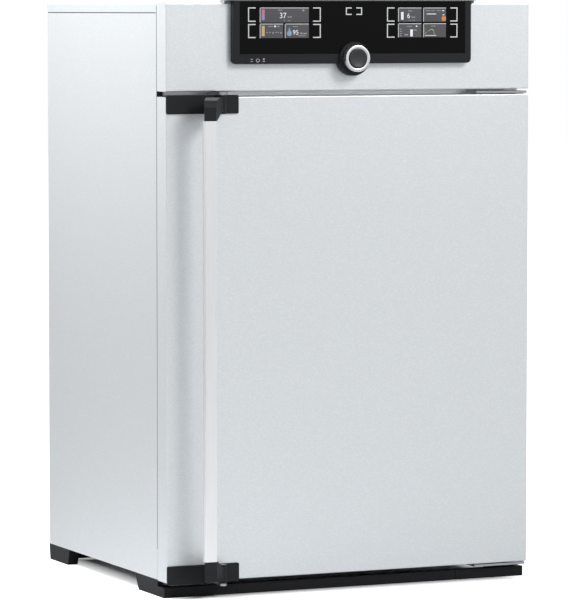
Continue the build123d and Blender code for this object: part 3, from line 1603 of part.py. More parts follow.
# Spacers that keep the back off the wall: four rubber buffers
spacer_x = back_width / 2 - 3 * spacer_radius
spacer_low = chamber_floor - 2 * spacer_radius
spacer_high = back_top - 2 * spacer_radius
with BuildPart() as rear_spacers:
    with BuildSketch(front_plane(case_rear)):
        with Locations((0, (spacer_low + spacer_high) / 2)):
            with GridLocations(2 * spacer_x, spacer_high - spacer_low, 2, 2):
                Circle(spacer_radius)
    extrude(amount=-spacer_depth)
    chamfer(rear_spacers.faces().sort_by(Axis.Y)[-1].edges(), length=spacer_bevel)

write(rear_spacers, "rear_spacers")

# Gas inlets: two hose stubs with a hexagon at the root, screwed through the pocket floor
with BuildPart() as gas_inlets:
    with BuildSketch(front_plane(pocket_floor)):
        with Locations(*[(x, pocket_z) for x in nozzle_x]):
            RegularPolygon(nozzle_hexagon_radius, 6)
    extrude(amount=-nozzle_hexagon)
    with BuildSketch(front_plane(pocket_floor)):
        with Locations(*[(x, pocket_z) for x in nozzle_x]):
            Circle(nozzle_radius)
    extrude(amount=-nozzle_hexagon - nozzle_length)
    with BuildSketch(front_plane(pocket_floor)):
        with Locations(*[(x, pocket_z) for x in nozzle_x]):
            Circle(screw_body_radius)
    extrude(amount=sheet + nozzle_thread)

write(gas_inlets, "gas_inlets")

# Fuse holders: two round screw caps with a slot, and their bodies behind the floor
with BuildPart() as fuse_holders:
    with BuildSketch(front_plane(pocket_floor)):
        with Locations(*[(x, pocket_z) for x in fuse_x]):
            Circle(fuse_radius)
    extrude(amount=-fuse_cap)
    chamfer(fuse_holders.faces().filter_by(Axis.Y).group_by(Axis.Y)[-1].edges(), length=fuse_chamfer)
    with BuildSketch(front_plane(pocket_floor + fuse_cap)):
        with Locations(*[(x, pocket_z) for x in fuse_x]):
            Rectangle(fuse_radius, fuse_slot_width)
    extrude(amount=fuse_slot_depth, mode=Mode.SUBTRACT)
    with BuildSketch(front_plane(pocket_floor)):
        with Locations(*[(x, pocket_z) for x in fuse_x]):
            Circle(screw_body_radius)
    extrude(amount=sheet + fuse_body)

write(fuse_holders, "fuse_holders")

# Mains inlet: flange, body and the cavity with its three contact blades
cavity_floor = pocket_floor + inlet_flange - socket_depth
with BuildPart() as mains_inlet:
    with BuildSketch(front_plane(pocket_floor)):
        with Locations((inlet_x, pocket_z)):
            RectangleRounded(inlet_width, inlet_height, inlet_corner)
    extrude(amount=-inlet_flange)
    with BuildSketch(front_plane(pocket_floor)):
        with Locations((inlet_x, pocket_z)):
            Rectangle(inlet_body_width - 2 * seam_play, inlet_body_height - 2 * seam_play)
    extrude(amount=socket_depth + inlet_flange)
    with BuildSketch(front_plane(cavity_floor)):
        with Locations((inlet_x, pocket_z)):
            Rectangle(socket_width, socket_height)
    extrude(amount=-socket_depth, mode=Mode.SUBTRACT)
    with BuildSketch(front_plane(cavity_floor)):
        with Locations(*[(inlet_x + x, pocket_z + z) for x, z in blade_places]):
            Rectangle(blade_width, blade_height)
    extrude(amount=blade_setback - socket_depth)

write(mains_inlet, "mains_inlet")
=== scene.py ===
import bpy
import math
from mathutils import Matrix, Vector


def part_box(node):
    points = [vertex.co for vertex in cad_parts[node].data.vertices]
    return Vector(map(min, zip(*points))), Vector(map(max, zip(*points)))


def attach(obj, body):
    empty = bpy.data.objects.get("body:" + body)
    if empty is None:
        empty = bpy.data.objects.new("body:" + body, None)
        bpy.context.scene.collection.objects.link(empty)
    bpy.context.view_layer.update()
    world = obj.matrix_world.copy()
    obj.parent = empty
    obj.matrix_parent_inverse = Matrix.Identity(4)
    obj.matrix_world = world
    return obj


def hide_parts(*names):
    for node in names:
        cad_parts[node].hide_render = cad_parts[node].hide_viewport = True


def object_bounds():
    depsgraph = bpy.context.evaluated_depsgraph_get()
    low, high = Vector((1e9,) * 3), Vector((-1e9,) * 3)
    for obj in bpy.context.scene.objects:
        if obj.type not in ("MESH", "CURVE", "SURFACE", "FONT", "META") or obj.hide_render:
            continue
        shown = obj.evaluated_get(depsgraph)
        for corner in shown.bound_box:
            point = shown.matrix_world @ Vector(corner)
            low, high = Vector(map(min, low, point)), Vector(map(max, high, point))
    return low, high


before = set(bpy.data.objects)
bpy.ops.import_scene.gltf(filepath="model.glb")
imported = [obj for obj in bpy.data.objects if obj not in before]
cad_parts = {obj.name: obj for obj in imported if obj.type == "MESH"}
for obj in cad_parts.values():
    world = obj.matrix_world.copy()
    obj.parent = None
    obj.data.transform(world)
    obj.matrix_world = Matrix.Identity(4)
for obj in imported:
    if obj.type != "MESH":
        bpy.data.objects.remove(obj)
cad_low, cad_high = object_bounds()

# The studio: a wide pale floor, an even white surround and two soft lamps, one at the front right and
# one high on the left. The camera stands left of the cabinet's front, seven and a half metres away.
PHOTO_HEIGHT = 600
FOCAL_PIXELS = 4034.7
CAMERA_PLACE = (-3.08025, -6.83382, 1.04827)
CAMERA_YAW = 0.4221
CAMERA_PITCH = 0.0724
SENSOR_WIDTH = 36.0
VIEW_REACH = 100.0
FLOOR_REACH = 40.0
FLOOR_COLOUR = (0.82, 0.83, 0.84)
FLOOR_ROUGHNESS = 0.9
FLOOR_GLOSS = 0.1
FLOOR_LIFT = 0.9
SHADOW_REACH = 0.06
AMBIENT = 0.36
LAMPS = (
    ("front_softbox", (1.3, -2.6, 2.7), (0, -0.28, 0.7), 1.0, 56.0),
    ("side_softbox", (-1.2, 0.1, 2.0), (-0.36, 0, 1.1), 0.7, 36.0),
)

bpy.context.scene.view_settings.view_transform = "Standard"

camera_data = bpy.data.cameras.new("camera")
camera_data.sensor_width = SENSOR_WIDTH
camera_data.lens = FOCAL_PIXELS * SENSOR_WIDTH / PHOTO_HEIGHT
camera_data.clip_end = VIEW_REACH
camera = bpy.data.objects.new("camera", camera_data)
camera.location = CAMERA_PLACE
camera.rotation_euler = (math.pi / 2 - CAMERA_PITCH, 0, -CAMERA_YAW)
bpy.context.scene.collection.objects.link(camera)
bpy.context.scene.camera = camera


def shader_of(finish):
    """Main shader node of a material."""
    return finish.node_tree.nodes["Principled BSDF"]


def combine(tree, operation, *values):
    """Output of a maths node on values, each a number or another node's output."""
    maths = tree.nodes.new("ShaderNodeMath")
    maths.operation = operation
    for socket, value in zip(maths.inputs, values):
        if isinstance(value, bpy.types.NodeSocket):
            tree.links.new(value, socket)
        else:
            socket.default_value = value
    return maths.outputs[0]


def seen_by_eye(tree):
    """Value that is 1 for rays from the camera, in mirrors and through glass, and 0 for plain light."""
    rays = tree.nodes.new("ShaderNodeLightPath").outputs
    total = rays["Is Camera Ray"]
    for kind in ("Is Glossy Ray", "Is Transmission Ray"):
        total = combine(tree, "MAXIMUM", total, rays[kind])
    return total


bpy.ops.object.select_all(action="DESELECT")
bpy.ops.mesh.primitive_plane_add(size=FLOOR_REACH, location=(0, 0, cad_low[2]))
floor = bpy.context.object
floor.name = "studio_floor"
floor_finish = bpy.data.materials.new("studio_floor")
floor_finish.use_nodes = True
floor_tree = floor_finish.node_tree
floor_shader = shader_of(floor_finish)
floor_shader.inputs["Base Color"].default_value = (*FLOOR_COLOUR, 1)
floor_shader.inputs["Roughness"].default_value = FLOOR_ROUGHNESS
floor_shader.inputs["Specular IOR Level"].default_value = FLOOR_GLOSS
floor_shader.inputs["Emission Color"].default_value = (1, 1, 1, 1)
floor.data.materials.append(floor_finish)

# The floor is lifted to white for the eye alone, and less and less within the cabinet's footprint,
# so that the gap under the cabinet stays dark.
floor_place = floor_tree.nodes.new("ShaderNodeSeparateXYZ")
floor_tree.links.new(
    floor_tree.nodes.new("ShaderNodeTexCoord").outputs["Object"], floor_place.inputs["Vector"]
)
outside = [
    combine(floor_tree, "SUBTRACT", combine(floor_tree, "ABSOLUTE", floor_place.outputs[axis]), reach)
    for axis, reach in (("X", cad_high[0]), ("Y", cad_high[1]))
]
floor_open = floor_tree.nodes.new("ShaderNodeMapRange")
floor_open.inputs["From Min"].default_value = -SHADOW_REACH
floor_open.inputs["From Max"].default_value = 0
floor_open.inputs["To Max"].default_value = FLOOR_LIFT
floor_tree.links.new(combine(floor_tree, "MAXIMUM", *outside), floor_open.inputs["Value"])
eye_rays = floor_tree.nodes.new("ShaderNodeLightPath").outputs["Is Camera Ray"]
floor_lift = combine(floor_tree, "MULTIPLY", eye_rays, floor_open.outputs["Result"])
floor_tree.links.new(floor_lift, floor_shader.inputs["Emission Strength"])

world = bpy.data.worlds.new("surround")
bpy.context.scene.world = world
world.use_nodes = True
world_tree = world.node_tree
surround = world_tree.nodes["Background"]
surround.inputs["Color"].default_value = (1, 1, 1, 1)
surround_level = world_tree.nodes.new("ShaderNodeMapRange")
surround_level.inputs["To Min"].default_value = AMBIENT
surround_level.inputs["To Max"].default_value = 1.0
world_tree.links.new(seen_by_eye(world_tree), surround_level.inputs["Value"])
world_tree.links.new(surround_level.outputs["Result"], surround.inputs["Strength"])

for lamp_name, lamp_place, lamp_target, lamp_size, lamp_power in LAMPS:
    lamp_data = bpy.data.lights.new(lamp_name, "AREA")
    lamp_data.size = lamp_size
    lamp_data.energy = lamp_power
    lamp = bpy.data.objects.new(lamp_name, lamp_data)
    lamp.location = lamp_place
    aim = [lamp_place[axis] - lamp_target[axis] for axis in range(3)]
    lamp.rotation_euler = (
        math.atan2(math.hypot(aim[0], aim[1]), aim[2]),
        0,
        math.atan2(aim[1], aim[0]) + math.pi / 2,
    )
    bpy.context.scene.collection.objects.link(lamp)


# Feet and plinth: black glass-filled nylon mouldings with a spark-eroded surface,
# screwed under the corners of the base, with a plain bar between the front two.
FOOT_COLOUR = (26, 26, 28)
BLACK_GLOSS = 0.15
SMOOTH_ANGLE = math.radians(35)


def tone(colour, share=1.0):
    """Linear colour of one given in steps of 0 to 255, made brighter or darker by a share."""
    linear = []
    for part in colour:
        level = part / 255
        level = level / 12.92 if level <= 0.04045 else ((level + 0.055) / 1.055) ** 2.4
        linear.append(min(1.0, level * share))
    return (*linear, 1)


def start_finish(name, colour, metallic, roughness):
    """Material of one colour, whose patterns are laid out on Object coordinates."""
    finish = bpy.data.materials.new(name)
    finish.use_nodes = True
    shader = shader_of(finish)
    shader.inputs["Base Color"].default_value = tone(colour)
    shader.inputs["Metallic"].default_value = metallic
    shader.inputs["Roughness"].default_value = roughness
    finish.node_tree.nodes.new("ShaderNodeTexCoord").name = "place"
    return finish


def pattern(finish, kind, cell, turn=(0, 0, 0)):
    """Pattern of the given kind, with cells of about the given size in metres."""
    nodes = finish.node_tree.nodes
    mapping = nodes.new("ShaderNodeMapping")
    mapping.vector_type = "TEXTURE"
    mapping.inputs["Rotation"].default_value = turn
    mapping.inputs["Scale"].default_value = cell
    texture = nodes.new(kind)
    if "Scale" in texture.inputs:
        texture.inputs["Scale"].default_value = 1.0
    finish.node_tree.links.new(nodes["place"].outputs["Object"], mapping.inputs["Vector"])
    finish.node_tree.links.new(mapping.outputs["Vector"], texture.inputs["Vector"])
    return texture.outputs["Distance" if kind == "ShaderNodeTexVoronoi" else 0]


def mottle(finish, value, colour, spread):
    """Lets the colour go darker and lighter by a share with a pattern's value."""
    ramp = finish.node_tree.nodes.new("ShaderNodeValToRGB")
    ramp.color_ramp.elements[0].position = 0.2
    ramp.color_ramp.elements[0].color = tone(colour, 1 - spread)
    ramp.color_ramp.elements[1].position = 0.8
    ramp.color_ramp.elements[1].color = tone(colour, 1 + spread)
    finish.node_tree.links.new(value, ramp.inputs["Fac"])
    shader = shader_of(finish)
    finish.node_tree.links.new(ramp.outputs["Color"], shader.inputs["Base Color"])


def vary_roughness(finish, value, low, high):
    """Spreads the roughness between two values with a pattern's value."""
    spread = finish.node_tree.nodes.new("ShaderNodeMapRange")
    spread.inputs["To Min"].default_value = low
    spread.inputs["To Max"].default_value = high
    shader = shader_of(finish)
    finish.node_tree.links.new(value, spread.inputs["Value"])
    finish.node_tree.links.new(spread.outputs["Result"], shader.inputs["Roughness"])


def emboss(finish, value, depth):
    """Raises the surface with a pattern's value, up to the depth in metres."""
    bump = finish.node_tree.nodes.new("ShaderNodeBump")
    bump.inputs["Distance"].default_value = depth
    shader = shader_of(finish)
    finish.node_tree.links.new(value, bump.inputs["Height"])
    finish.node_tree.links.new(bump.outputs["Normal"], shader.inputs["Normal"])


def dress(finish, *nodes):
    """Gives CAD nodes their finish."""
    for node in nodes:
        for material_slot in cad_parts[node].material_slots:
            material_slot.material = finish


foot_plastic = start_finish("foot_plastic", FOOT_COLOUR, metallic=0, roughness=0.5)
shader_of(foot_plastic).inputs["Specular IOR Level"].default_value = BLACK_GLOSS
foot_grain = pattern(foot_plastic, "ShaderNodeTexNoise", (0.0012, 0.0012, 0.0012))
mottle(foot_plastic, foot_grain, FOOT_COLOUR, spread=0.12)
vary_roughness(foot_plastic, foot_grain, low=0.42, high=0.6)
emboss(foot_plastic, foot_grain, depth=0.00012)
dress(foot_plastic, "front_feet", "front_plinth", "rear_feet")

# Base pan, back panel, compartment floor, connection pocket and power supply case: galvanised sheet,
# whose zinc shows a faint spangle of crystals a few millimetres across.
ZINC_COLOUR = (178, 182, 185)

back_steel = start_finish("back_steel", ZINC_COLOUR, metallic=0.85, roughness=0.42)
spangle = pattern(back_steel, "ShaderNodeTexVoronoi", (0.009, 0.009, 0.009))
mottle(back_steel, spangle, ZINC_COLOUR, spread=0.1)
vary_roughness(back_steel, spangle, low=0.34, high=0.5)
emboss(back_steel, pattern(back_steel, "ShaderNodeTexNoise", (0.02, 0.02, 0.02)), depth=0.00006)
dress(back_steel, "base_pan", "back_panel", "electronics_tray", "connection_box", "power_supply")

# Chamber, front frame, fan cover, rack shelves, water tray and the door's inner panel: polished
# stainless sheet, deep-drawn or folded, with the fine level lines of its rolling.
LINER_COLOUR = (206, 208, 210)

liner_steel = start_finish("liner_steel", LINER_COLOUR, metallic=0.92, roughness=0.28)
rolling = pattern(liner_steel, "ShaderNodeTexNoise", (0.12, 0.12, 0.0009))
mottle(liner_steel, rolling, LINER_COLOUR, spread=0.06)
vary_roughness(liner_steel, rolling, low=0.22, high=0.36)
emboss(liner_steel, rolling, depth=0.00002)
dress(
    liner_steel, "inner_chamber", "front_frame", "fan_cover", "lower_shelf", "upper_shelf",
    "water_tray", "door_inner_panel",
)

# Heater mats: orange silicone film, glued round the outside of the liner,
# with the element's track showing through.
HEATER_COLOUR = (168, 84, 46)
TRACK_PITCH = 0.012

heater_film = start_finish("heater_film", HEATER_COLOUR, metallic=0, roughness=0.55)
track = pattern(heater_film, "ShaderNodeTexWave", (TRACK_PITCH, TRACK_PITCH, TRACK_PITCH))
mottle(heater_film, track, HEATER_COLOUR, spread=0.3)
emboss(heater_film, track, depth=0.0003)
dress(heater_film, "heater_mats")

# Insulation in the casing and in the door: slabs of mineral wool, cut to fit round the liner,
# with fibres that lie mostly one way.
WOOL_COLOUR = (198, 186, 140)

mineral_wool = start_finish("mineral_wool", WOOL_COLOUR, metallic=0, roughness=0.95)
fibres = pattern(mineral_wool, "ShaderNodeTexNoise", (0.004, 0.02, 0.002), (0.3, 0.2, 0.5))
mottle(mineral_wool, fibres, WOOL_COLOUR, spread=0.25)
emboss(mineral_wool, fibres, depth=0.002)
dress(mineral_wool, "chamber_insulation", "door_insulation")

# Gaskets: extruded silicone profiles with a dull bloom, one round the chamber mouth
# and one in the outer door's edge.
GASKET_COLOUR = (150, 152, 156)

silicone = start_finish("silicone", GASKET_COLOUR, metallic=0, roughness=0.5)
silicone_bloom = pattern(silicone, "ShaderNodeTexNoise", (0.006, 0.006, 0.006))
mottle(silicone, silicone_bloom, GASKET_COLOUR, spread=0.07)
vary_roughness(silicone, silicone_bloom, low=0.4, high=0.6)
dress(silicone, "glass_gasket", "door_gasket")

# Inner door: a pane of toughened glass with a faint green cast, in pressed steel leaves
# and held shut by a turning latch.
GLASS_COLOUR = (245, 251, 248)
GLASS_INDEX = 1.5
GLASS_CELL = (0.09, 0.09, 0.09)

clear_glass = start_finish("clear_glass", GLASS_COLOUR, metallic=0, roughness=0.02)
clear_shader = shader_of(clear_glass)
clear_shader.inputs["Transmission Weight"].default_value = 1.0
clear_shader.inputs["IOR"].default_value = GLASS_INDEX
glass_haze = pattern(clear_glass, "ShaderNodeTexNoise", GLASS_CELL)
vary_roughness(clear_glass, glass_haze, low=0.0, high=0.03)
dress(clear_glass, "glass_pane")

# Hinges, pins, spindles, strikes, latch arms, shaft and probe: turned or pressed steel, bright zinc
# plated, with faint drawing marks.
PLATED_COLOUR = (168, 170, 174)

hinge_steel = start_finish("hinge_steel", PLATED_COLOUR, metallic=1.0, roughness=0.34)
drawing_marks = pattern(hinge_steel, "ShaderNodeTexNoise", (0.001, 0.001, 0.012))
mottle(hinge_steel, drawing_marks, PLATED_COLOUR, spread=0.12)
vary_roughness(hinge_steel, drawing_marks, low=0.26, high=0.42)
dress(
    hinge_steel, "glass_hinge_leaves", "glass_hinge_brackets", "fan_shaft", "temperature_probe",
    "knob_encoder", "door_bushes", "door_hinge_plates", "hinge_pins", "handle_spindles", "latch_arms",
    "door_strikes",
)

# Fan: an aluminium wheel on its shaft, with a motor behind the wall
# that is painted dark grey.
WHEEL_COLOUR = (206, 208, 211)
MOTOR_COLOUR = (74, 77, 80)

wheel_alloy = start_finish("wheel_alloy", WHEEL_COLOUR, metallic=0.95, roughness=0.36)
wheel_marks = pattern(wheel_alloy, "ShaderNodeTexNoise", (0.002, 0.002, 0.02))
mottle(wheel_alloy, wheel_marks, WHEEL_COLOUR, spread=0.08)
vary_roughness(wheel_alloy, wheel_marks, low=0.3, high=0.45)
dress(wheel_alloy, "fan_wheel")

motor_paint = start_finish("motor_paint", MOTOR_COLOUR, metallic=0, roughness=0.45)
orange_peel = pattern(motor_paint, "ShaderNodeTexNoise", (0.003, 0.003, 0.003))
mottle(motor_paint, orange_peel, MOTOR_COLOUR, spread=0.1)
emboss(motor_paint, orange_peel, depth=0.0002)
dress(motor_paint, "fan_motor")

# Sensors: white fluoropolymer caps with a dull bloom,
# over the gas cell and the damp cell.
SENSOR_COLOUR = (226, 226, 221)

sensor_plastic = start_finish("sensor_plastic", SENSOR_COLOUR, metallic=0, roughness=0.45)
sensor_bloom = pattern(sensor_plastic, "ShaderNodeTexNoise", (0.005, 0.005, 0.005))
mottle(sensor_plastic, sensor_bloom, SENSOR_COLOUR, spread=0.05)
vary_roughness(sensor_plastic, sensor_bloom, low=0.4, high=0.55)
dress(sensor_plastic, "co2_sensor", "humidity_sensor")

# Electronics: the control board, whose tracks show through its green lacquer,
# and brass valves with their hose stubs.
BOARD_COLOUR = (28, 92, 56)
BRASS_COLOUR = (196, 160, 92)

circuit_board = start_finish("circuit_board", BOARD_COLOUR, metallic=0, roughness=0.35)
board_tracks = pattern(circuit_board, "ShaderNodeTexBrick", (0.02, 0.02, 0.02))
mottle(circuit_board, board_tracks, BOARD_COLOUR, spread=0.3)
dress(circuit_board, "control_board")

brass = start_finish("brass", BRASS_COLOUR, metallic=1.0, roughness=0.3)
brass_marks = pattern(brass, "ShaderNodeTexNoise", (0.004, 0.0008, 0.004))
mottle(brass, brass_marks, BRASS_COLOUR, spread=0.1)
vary_roughness(brass, brass_marks, low=0.24, high=0.4)
dress(brass, "gas_valves", "gas_inlets")

# Casing: side panels, lid, fascia and outer door shell of stainless sheet, rolled with a fine grain
# of short level cells that spreads its gloss to a soft sheen.
STEEL_COLOUR = (222, 226, 229)
STEEL_CELL = (0.0040, 0.0040, 0.0020)

textured_steel = start_finish("textured_steel", STEEL_COLOUR, metallic=0.6, roughness=0.42)
steel_grain = pattern(textured_steel, "ShaderNodeTexVoronoi", STEEL_CELL)
mottle(textured_steel, steel_grain, STEEL_COLOUR, spread=0.035)
vary_roughness(textured_steel, steel_grain, low=0.38, high=0.46)
emboss(textured_steel, steel_grain, depth=0.00006)
dress(
    textured_steel, "left_side_panel", "right_side_panel", "top_cover", "control_fascia", "door_shell",
)

# Groove shade: near-black strips in the groove under the lid, and behind the edges of fascia and door,
# as painted shade that darkens these seams.
GROOVE_SHADE_COLOUR = (26, 27, 29)
SEAM_HEIGHT = 1.0378
SEAM_GAP = 0.0016
SHADE_SETBACK = 0.0003
SHADE_WIDTH = 0.0115
FRONT_GAP = 0.003
SHADE_FOOT = 0.055
DOOR_SHADE_TRIM = 0.0006
SHADE_DEPTH = 0.0009
SHADE_END = 0.003
SHADE_PLAY = 0.0001


def start_piece(name):
    """New empty piece, open in edit mode, for primitives to be added to."""
    bpy.ops.object.select_all(action="DESELECT")
    piece = bpy.data.objects.new(name, bpy.data.meshes.new(name))
    bpy.context.scene.collection.objects.link(piece)
    bpy.context.view_layer.objects.active = piece
    piece.select_set(True)
    bpy.ops.object.mode_set(mode="EDIT")
    bpy.ops.mesh.select_mode(type="FACE")
    return piece


def add_block(low, high):
    """Adds a block between two corners to the piece that is open."""
    middle = [(a + b) / 2 for a, b in zip(low, high)]
    bpy.ops.mesh.primitive_cube_add(size=1, location=middle)
    bpy.ops.transform.resize(value=[b - a for a, b in zip(low, high)], center_override=middle)


def finish_piece(piece, finish, body, edge):
    """Breaks the piece's sharp edges and gives it its finish, material slot and body."""
    bpy.ops.object.mode_set(mode="OBJECT")
    bevel = piece.modifiers.new("edge", "BEVEL")
    bevel.width = edge
    bevel.segments = 2
    bevel.limit_method = "ANGLE"
    bpy.ops.object.modifier_apply(modifier=bevel.name)
    bpy.ops.object.shade_smooth_by_angle(angle=SMOOTH_ANGLE)
    piece.data.materials.append(finish)
    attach(piece, body)


# Near-black finish with a faint cell grain, for the painted shade in the seams.
groove_shade = start_finish("groove_shade", GROOVE_SHADE_COLOUR, metallic=0, roughness=0.85)
shade_cells = pattern(groove_shade, "ShaderNodeTexVoronoi", (0.0008, 0.0008, 0.0008))
mottle(groove_shade, shade_cells, GROOVE_SHADE_COLOUR, spread=0.3)
emboss(groove_shade, shade_cells, depth=0.0002)

side_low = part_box("left_side_panel")[0]
lid_low, lid_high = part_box("top_cover")
# Painted shade: a near-black strip along each side and the back of the lid's groove.
lid_groove_shade = start_piece("lid_groove_shade")
lid_left, lid_right, lid_rear = lid_low[0], lid_high[0], lid_high[1]
side_front, side_rear = lid_low[1] + SHADE_END, lid_rear - SHADE_END
for left, right, front, rear in (
    (lid_left + SHADE_SETBACK, lid_left + SHADE_DEPTH, side_front, side_rear),
    (lid_right - SHADE_DEPTH, lid_right - SHADE_SETBACK, side_front, side_rear),
    (lid_left + SHADE_END, lid_right - SHADE_END, lid_rear - SHADE_DEPTH, lid_rear - SHADE_SETBACK),
):
    add_block((left, front, SEAM_HEIGHT + SHADE_PLAY), (right, rear, SEAM_HEIGHT + SEAM_GAP - SHADE_PLAY))
finish_piece(lid_groove_shade, groove_shade, "cabinet", edge=0.0001)

# Painted shade: a near-black strip in the gap behind fascia and door, at the front edge of the left
# side panel.
front_groove_shade = start_piece("front_groove_shade")
shade_rear = side_low[1] - SHADE_PLAY
shade_front = shade_rear - FRONT_GAP + DOOR_SHADE_TRIM
add_block(
    (side_low[0] + SHADE_SETBACK, shade_front, side_low[2] + SHADE_FOOT),
    (side_low[0] + SHADE_WIDTH, shade_rear, lid_high[2] - 2 * FRONT_GAP),
)
finish_piece(front_groove_shade, groove_shade, "cabinet", edge=0.0004)

# Control panel: a black moulded housing hung on the fascia, with a grey hood along its top edge.
# The power key, the handle's levers and brackets and the glass door's latch are of the same black.
HOUSING_COLOUR = (34, 35, 37)
HOOD_COLOUR = (132, 134, 135)

black_plastic = start_finish("black_plastic", HOUSING_COLOUR, metallic=0, roughness=0.45)
shader_of(black_plastic).inputs["Specular IOR Level"].default_value = BLACK_GLOSS
black_grain = pattern(black_plastic, "ShaderNodeTexNoise", (0.0009, 0.0009, 0.0009))
mottle(black_plastic, black_grain, HOUSING_COLOUR, spread=0.1)
vary_roughness(black_plastic, black_grain, low=0.38, high=0.55)
emboss(black_plastic, black_grain, depth=0.00008)
dress(
    black_plastic, "panel_housing", "power_key", "upper_handle_bracket", "lower_handle_bracket",
    "upper_handle_lever", "lower_handle_lever", "glass_latch_lever",
)

grey_plastic = start_finish("grey_plastic", HOOD_COLOUR, metallic=0, roughness=0.4)
grey_grain = pattern(grey_plastic, "ShaderNodeTexNoise", (0.0009, 0.0009, 0.0009))
mottle(grey_plastic, grey_grain, HOOD_COLOUR, spread=0.08)
vary_roughness(grey_plastic, grey_grain, low=0.34, high=0.5)
dress(grey_plastic, "panel_hood")

# Panel glass: one smoked pane over both displays, lacquered black from behind,
# and the dark grey display modules themselves.
PANE_COLOUR = (9, 9, 10)
PANE_GLOSS = 0.08
BACKING_COLOUR = (58, 59, 62)

smoked_glass = start_finish("smoked_glass", PANE_COLOUR, metallic=0, roughness=0.12)
shader_of(smoked_glass).inputs["Specular IOR Level"].default_value = PANE_GLOSS
pane_haze = pattern(smoked_glass, "ShaderNodeTexNoise", (0.12, 0.12, 0.12))
mottle(smoked_glass, pane_haze, PANE_COLOUR, spread=0.15)
vary_roughness(smoked_glass, pane_haze, low=0.08, high=0.16)
dress(smoked_glass, "panel_glass")

display_backing = start_finish("display_backing", BACKING_COLOUR, metallic=0, roughness=0.4)
backing_grain = pattern(display_backing, "ShaderNodeTexNoise", (0.003, 0.003, 0.003))
mottle(display_backing, backing_grain, BACKING_COLOUR, spread=0.1)
dress(display_backing, "displays")

# Display tiles: the lit fields of the two displays, seen at the face of the glass.
# Each is a flat grey field with a light edge along its top and left sides.
TILE_COLOUR = (86, 86, 89)
EDGE_COLOUR = (196, 197, 199)
PRINT = 0.00008
PRINT_SINK = 0.00002
PRINT_GLOSS = 0.1
TILE_EDGE = 0.0013
TILES = (
    (-0.1844, -0.0889, 1.0214, 1.0479), (-0.1844, -0.1390, 0.9940, 1.0194),
    (-0.1357, -0.0889, 0.9940, 1.0194), (0.0877, 0.1343, 1.0226, 1.0478),
    (0.1380, 0.1837, 1.0226, 1.0478), (0.0877, 0.1343, 0.9946, 1.0196),
    (0.1380, 0.1837, 0.9946, 1.0196),
)
pane_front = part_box("panel_glass")[0][1]


def print_finish(name, colour, glow):
    """Finish of a printed or lit mark: a flat tone with a faint grain of dots."""
    finish = start_finish(name, colour, metallic=0, roughness=0.6)
    dots = pattern(finish, "ShaderNodeTexNoise", (0.0012, 0.0012, 0.0012))
    mottle(finish, dots, colour, spread=0.06)
    shader = shader_of(finish)
    shader.inputs["Specular IOR Level"].default_value = PRINT_GLOSS
    shader.inputs["Emission Color"].default_value = tone(colour)
    shader.inputs["Emission Strength"].default_value = glow
    return finish


def print_marks(name, marks, layer, finish, body):
    """Flat marks on the front of the glass: left, right, bottom and top of each, in one piece."""
    piece = start_piece(name)
    rear = pane_front - (layer - 1) * PRINT + PRINT_SINK
    for left, right, bottom, top in marks:
        add_block((left, rear - PRINT - PRINT_SINK, bottom), (right, rear, top))
    finish_piece(piece, finish, body, edge=PRINT / 4)
    return piece


tile_grey = print_finish("tile_grey", TILE_COLOUR, glow=0.15)
edge_grey = print_finish("edge_grey", EDGE_COLOUR, glow=0.15)
print_marks("display_tiles", TILES, 1, tile_grey, "cabinet")
print_marks(
    "display_tile_edges",
    [(left, right, top - TILE_EDGE, top) for left, right, bottom, top in TILES]
    + [(left, left + TILE_EDGE, bottom, top) for left, right, bottom, top in TILES],
    2, edge_grey, "cabinet",
)

# Readings on the tiles: large digits for heat, damp and gas, their small units and rows of status
# marks, as short light dashes.
READING_COLOUR = (228, 229, 231)
FAINT_COLOUR = (150, 151, 154)
READINGS = (
    ("37", -0.1394, 1.0292, 0.0138), ("95", -0.1145, 0.9998, 0.0120), ("6", 0.1085, 1.0290, 0.0128),
)

reading_white = print_finish("reading_white", READING_COLOUR, glow=0.2)
faint_white = print_finish("faint_white", FAINT_COLOUR, glow=0.1)
for digits, middle, bottom, height in READINGS:
    bpy.ops.object.select_all(action="DESELECT")
    bpy.ops.object.text_add()
    reading = bpy.context.object
    reading.name = "reading_" + digits
    reading.data.body = digits
    reading.data.size = height
    reading.data.align_x = "CENTER"
    reading.data.extrude = PRINT / 2
    bpy.ops.object.convert(target="MESH")
    reading.rotation_euler = (math.pi / 2, 0, 0)
    reading.location = (middle, pane_front - 2 * PRINT, bottom)
    bpy.ops.object.transform_apply(location=True, rotation=True, scale=True)
    reading.data.materials.clear()
    reading.data.materials.append(reading_white)
    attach(reading, "cabinet")

